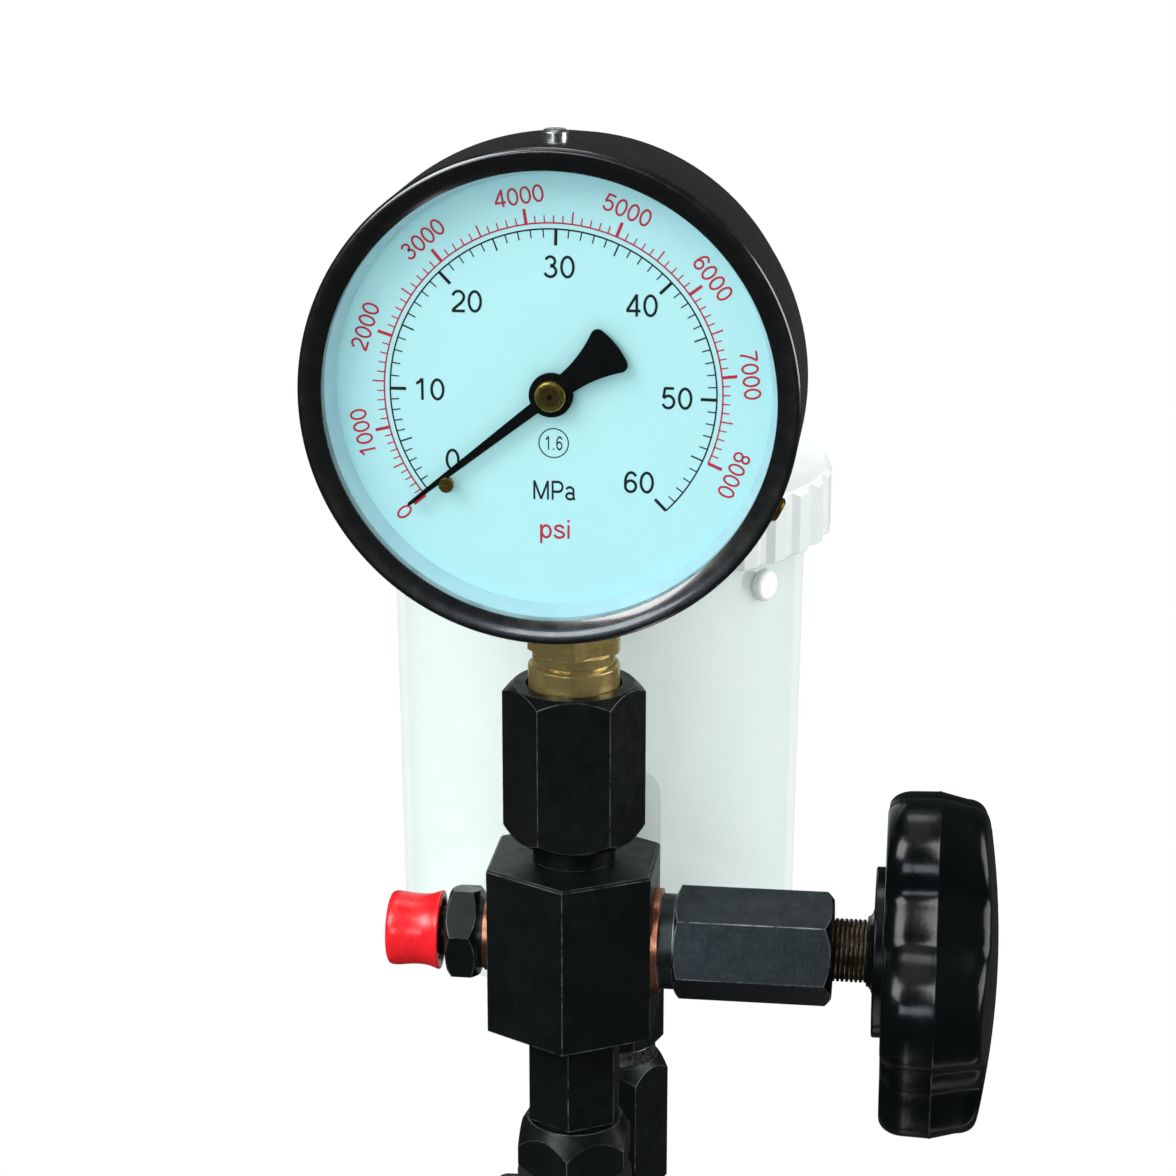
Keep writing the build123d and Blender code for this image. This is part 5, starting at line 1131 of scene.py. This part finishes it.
@dataclass
class GaugeRim:
    """The pressed ring that holds the glass: a rolled corner, then a lip that slopes in like a funnel."""

    wall_mm: float = 2.37
    opening_mm: float = 4.67
    roll_mm: float = 1.0
    fall_mm: float = 1.25
    bead_mm: float = 0.5
    nose_mm: float = 0.1
    roll_steps: int = 6
    steps: int = 192

    def build(self) -> None:
        """Replaces the CAD ring, whose lip is flat."""
        low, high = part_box("bezel")
        outer = (high.x - low.x) / 2
        inner, mouth = outer - self.wall_mm * MM, outer - self.opening_mm * MM
        glass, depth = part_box("gauge_glass")[0].y - low.y, high.y - low.y
        roll, bead, nose, fall = (size * MM for size in (self.roll_mm, self.bead_mm, self.nose_mm, self.fall_mm))
        outline = [(inner, depth), (outer - bead, depth), (outer, depth - bead)]
        for k in range(self.roll_steps + 1):
            a = math.radians(QUARTER_TURN) * k / self.roll_steps
            outline.append((outer - roll + roll * math.cos(a), roll - roll * math.sin(a)))
        outline += [(mouth + nose, fall), (mouth, fall + nose), (mouth, glass), (inner, glass), (inner, depth)]
        mesh = turned_mesh(lambda turn: outline, self.steps)
        lay(mesh, "X", -QUARTER_TURN, (0.0, low.y, (low.z + high.z) / 2))
        piece = finished("bezel_rolled", mesh, CASE_ENAMEL, "tester")
        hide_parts("bezel")


@dataclass
class DialSurround:
    """The pale ring that fills the step between the dial and the glass."""

    outer_mm: float = 45.8
    dial_mm: float = 43.5
    glass_mm: float = 44.95
    gap_mm: float = 0.05
    steps: int = 192

    def build(self) -> None:
        """Makes the ring, which no CAD node stands for."""
        dial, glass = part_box("dial"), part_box("gauge_glass")
        gap = self.gap_mm * MM
        deep = dial[0].y - glass[1].y - 2 * gap
        outline = [(self.glass_mm * MM, 0.0), (self.outer_mm * MM, 0.0), (self.outer_mm * MM, deep),
                   (self.dial_mm * MM, deep), (self.glass_mm * MM, 0.0)]
        mesh = turned_mesh(lambda turn: outline, self.steps)
        lay(mesh, "X", -QUARTER_TURN, (0.0, glass[1].y + gap, (dial[0].z + dial[1].z) / 2))
        finished("dial_surround", mesh, RING_WHITE, "tester")


@dataclass
class WoundSpring:
    """A compression spring of round wire, its end turns closed."""

    node: str
    turns: float
    wire_mm: float
    end_gap_mm: float = 0.5
    steps_a_turn: int = 24
    round_steps: int = 3

    def build(self) -> None:
        """Replaces the CAD spring with a smooth one of the same form."""
        low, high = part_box(self.node)
        wire = self.wire_mm * MM
        radius = (high.x - low.x) / 2 - wire
        bottom, top = low.z + wire, high.z - wire
        closed = 2 * wire + self.end_gap_mm * MM
        count = int(self.turns * self.steps_a_turn)
        curve = bpy.data.curves.new(self.node, "CURVE")
        curve.dimensions = "3D"
        curve.bevel_depth = wire
        curve.bevel_resolution = self.round_steps
        curve.use_fill_caps = True
        spline = curve.splines.new("POLY")
        spline.points.add(count)
        for i, point in enumerate(spline.points):
            turn = self.turns * i / count
            if turn < 1:
                z = bottom + closed * turn
            elif turn > self.turns - 1:
                z = top - closed * (self.turns - turn)
            else:
                z = bottom + closed + (top - bottom - 2 * closed) * (turn - 1) / (self.turns - 2)
            a = 2 * math.pi * turn
            point.co = (radius * math.cos(a), radius * math.sin(a), z, 1.0)
        holder = bpy.data.objects.new(self.node, curve)
        bpy.context.scene.collection.objects.link(holder)
        graph = bpy.context.evaluated_depsgraph_get()
        mesh = bpy.data.meshes.new_from_object(holder.evaluated_get(graph))
        bpy.data.objects.remove(holder)
        piece = finished(f"{self.node}_wire", mesh, SPRING, "tester")
        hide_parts(self.node)


@dataclass(frozen=True)
class Lamp:
    """A soft panel lamp: its place and size in metres, its power in watts and its light's colour."""

    name: str
    place: tuple[float, float, float]
    size: Point
    power: float
    colour: str = "#FFFFFF"

    def hang(self, aim_m: float) -> None:
        """Hangs the lamp so that it faces the object's axis.

        Args:
            aim_m: The height that it faces, in metres.
        """
        light = bpy.data.lights.new(self.name, "AREA")
        light.shape = "RECTANGLE"
        light.size, light.size_y = self.size
        light.energy = self.power
        light.color = linear(self.colour)[:3]
        lamp = bpy.data.objects.new(self.name, light)
        lamp.location = self.place
        aim = Vector((0.0, 0.0, aim_m)) - Vector(self.place)
        lamp.rotation_euler = aim.to_track_quat("-Z", "Y").to_euler()
        bpy.context.scene.collection.objects.link(lamp)


@dataclass
class Studio:
    """A plain pale room: floor, sky and soft lamps at a plain level.

    Strengths are above and below the horizon as light, and plain, in the window and on a glowing patch of the floor in
    mirrors, which is a painted reflection.
    Ramps are the sine of the height, or the share to the right, at which they are nought and one.
    """

    floor_m: float = 6.0
    above: float = 1.6
    below: float = 0.4
    sky_ramp: Point = (-0.2, 0.9)
    mirrored: float = 0.04
    window: float = 0.9
    window_up: Point = (0.7, 1.0)
    window_left: Point = (-0.45, -0.2)
    window_right: Point = (0.25, -0.05)
    # a patch of floor that glows only in mirrors, a painted reflection: its strength, then its place along X and Y and
    # its soft edges, in metres
    painted_reflection: float = 2.0
    painted_reflection_m: tuple[Point, Point] = ((0.055, 0.11), (-0.3, 0.08))
    painted_reflection_edge_m: Point = (0.012, 0.1)
    glow: float = 1.0
    glow_share: float = 0.4
    shade_m: Point = (0.13, 0.3)
    paper: str = "#B4B5B5"
    paper_bounce: str = "#A4A6A6"
    aim_m: float = 0.27
    lamps: tuple[Lamp, ...] = (
        Lamp("lamp_key", place=(-0.8, -0.9, 1.3), size=(0.85, 0.85), power=21.0),
        Lamp("lamp_fill", place=(1.3, 0.1, 0.6), size=(0.9, 0.9), power=11.0),
        Lamp("lamp_top", place=(-0.1, 0.5, 1.7), size=(0.4, 0.4), power=1.5),
        Lamp("lamp_front", place=(-0.48, -2.2, 0.74), size=(0.7, 0.5), power=8.0, colour="#DDEBF4"))

    def build(self) -> None:
        """Makes the floor, the sky and the lamps."""
        self.floor()
        self.sky()
        for lamp in self.lamps:
            lamp.hang(self.aim_m)
        log.info("studio ready")

    def path(self, tree: Tree) -> tuple[Socket, Socket]:
        """Tells the rays that show the background plainly from the rays that mirror it.

        Args:
            tree: The tree that gets the nodes.

        Returns:
            A socket that is one for the plain rays, and one for the mirrored.
        """
        rays = node(tree, "ShaderNodeLightPath").outputs
        seen = node(tree, "ShaderNodeMath", {
            0: rays["Is Camera Ray"], 1: rays["Is Transmission Ray"]}, operation="MAXIMUM").outputs[0]
        return seen, rays["Is Glossy Ray"]

    def inside(self, tree: Tree, ramps: list[tuple[Socket, float, float]]) -> Socket:
        """Gives one where several values are all past their ramps.

        Args:
            tree: The tree that gets the nodes.
            ramps: Each value, and where its ramp is nought and one.

        Returns:
            The product of the ramps.
        """
        product = 1.0
        for value, nought, one in ramps:
            share = node(tree, "ShaderNodeMapRange", {"Value": value, "From Min": nought, "From Max": one}).outputs[0]
            product = node(tree, "ShaderNodeMath", {0: product, 1: share}, operation="MULTIPLY").outputs[0]
        return product

    def floor(self) -> None:
        """Lays the floor: white but for the object's shadow to the camera, and dim in mirrors but for a glowing patch,
        a painted reflection.
        """
        size = self.floor_m
        corners = [(-size, -size, 0), (size, -size, 0), (size, size, 0), (-size, size, 0)]
        mesh = mesh_of("floor", corners, [(0, 1, 2, 3)])
        paper = bpy.data.materials.new("paper_sweep_white")
        tree = fresh_tree(paper)
        seen, mirrored = self.path(tree)
        place = node(tree, "ShaderNodeTexCoord").outputs["Object"]
        colour = node(tree, "ShaderNodeMix", {
            0: seen, 6: linear(self.paper_bounce), 7: linear(self.paper)}, data_type="RGBA").outputs[2]
        matt = node(tree, "ShaderNodeBsdfDiffuse", {"Color": colour}).outputs[0]
        glow = node(tree, "ShaderNodeEmission", {"Strength": self.glow}).outputs[0]
        away = node(tree, "ShaderNodeVectorMath", {0: place}, operation="LENGTH").outputs["Value"]
        far = node(tree, "ShaderNodeMapRange", {
            "Value": away, "From Min": self.shade_m[0], "From Max": self.shade_m[1],
            "To Min": self.glow_share}).outputs[0]
        share = node(tree, "ShaderNodeMath", {0: seen, 1: far}, operation="MULTIPLY").outputs[0]
        shown = node(tree, "ShaderNodeMixShader", {0: share, 1: matt, 2: glow}).outputs[0]
        spot = node(tree, "ShaderNodeSeparateXYZ", {0: place}).outputs
        # the glowing patch on the floor, which mirrors alone see, is a painted reflection
        ramps = [(spot[i], end, end + way * self.painted_reflection_edge_m[i])
                 for i in (0, 1) for end, way in zip(self.painted_reflection_m[i], (1, -1))]
        strength = node(tree, "ShaderNodeMapRange", {
            "Value": self.inside(tree, ramps), "To Min": self.mirrored, "To Max": self.painted_reflection}).outputs[0]
        painted_reflection = node(tree, "ShaderNodeEmission", {"Strength": strength}).outputs[0]
        both = node(tree, "ShaderNodeMixShader", {0: mirrored, 1: shown, 2: painted_reflection}).outputs[0]
        node(tree, "ShaderNodeOutputMaterial", {"Surface": both})
        mesh.materials.append(paper)
        floor = bpy.data.objects.new("floor", mesh)
        bpy.context.scene.collection.objects.link(floor)

    def sky(self) -> None:
        """Sets the world: white to the camera, brighter from above as light, dim but for a window in mirrors."""
        world = bpy.data.worlds.new("studio")
        tree = fresh_tree(world)
        seen, mirrored = self.path(tree)
        way = node(tree, "ShaderNodeTexCoord").outputs["Generated"]
        aside, _, height = node(tree, "ShaderNodeSeparateXYZ", {0: way}).outputs
        sky = node(tree, "ShaderNodeMapRange", {
            "Value": height, "From Min": self.sky_ramp[0], "From Max": self.sky_ramp[1],
            "To Min": self.below, "To Max": self.above}).outputs[0]
        light = node(tree, "ShaderNodeMix", {0: seen, 2: sky, 3: 1.0}).outputs[0]
        window = self.inside(tree, [
            (aside, *self.window_left), (aside, *self.window_right), (height, *self.window_up)])
        dim = node(tree, "ShaderNodeMapRange", {
            "Value": window, "To Min": self.mirrored, "To Max": self.window}).outputs[0]
        strength = node(tree, "ShaderNodeMix", {0: mirrored, 2: light, 3: dim}).outputs[0]
        back = node(tree, "ShaderNodeBackground", {"Color": linear("#FFFFFF"), "Strength": strength})
        node(tree, "ShaderNodeOutputWorld", {"Surface": back.outputs[0]})
        bpy.context.scene.world = world


@dataclass
class PhotoCamera:
    """The camera, where the photograph was taken from; its two angles are in radians."""

    place: tuple[float, float, float] = (0.074355, -0.567826, 0.47003)
    around: float = 0.12491
    down: float = 0.29255
    lens_mm: float = 85.71
    sensor_mm: float = 36.0

    def build(self) -> None:
        """Makes the camera and hands it to the scene."""
        sa, ca = math.sin(self.around), math.cos(self.around)
        se, ce = math.sin(self.down), math.cos(self.down)
        back = Vector((sa * ce, -ca * ce, se))
        right = Vector((ca, sa, 0.0))
        up = back.cross(right)
        data = bpy.data.cameras.new("camera")
        data.sensor_width = self.sensor_mm
        data.lens = self.lens_mm
        camera = bpy.data.objects.new("camera", data)
        turn = Matrix((right, up, back)).transposed().to_4x4()
        camera.matrix_world = Matrix.Translation(self.place) @ turn
        bpy.context.scene.collection.objects.link(camera)
        bpy.context.scene.camera = camera
        log.info("camera ready")


def main() -> None:
    """Builds the dressed tester, piece by piece."""
    logging.basicConfig(level=logging.INFO, format="%(message)s")
    bpy.context.scene.view_settings.view_transform = "Standard"
    PhotoCamera().build()
    Studio().build()
    dress(NODE_FINISHES)
    GaugeFace().build(Ticks())
    ReliefValve().build(Thread())
    LobedKnob().build()
    SoftCap().build()
    GaugeRim().build()
    DialSurround().build()
    WoundSpring("plunger_spring", turns=6.5, wire_mm=0.9).build()
    WoundSpring("delivery_spring", turns=6.0, wire_mm=0.4).build()


if __name__ == "__main__":
    main()
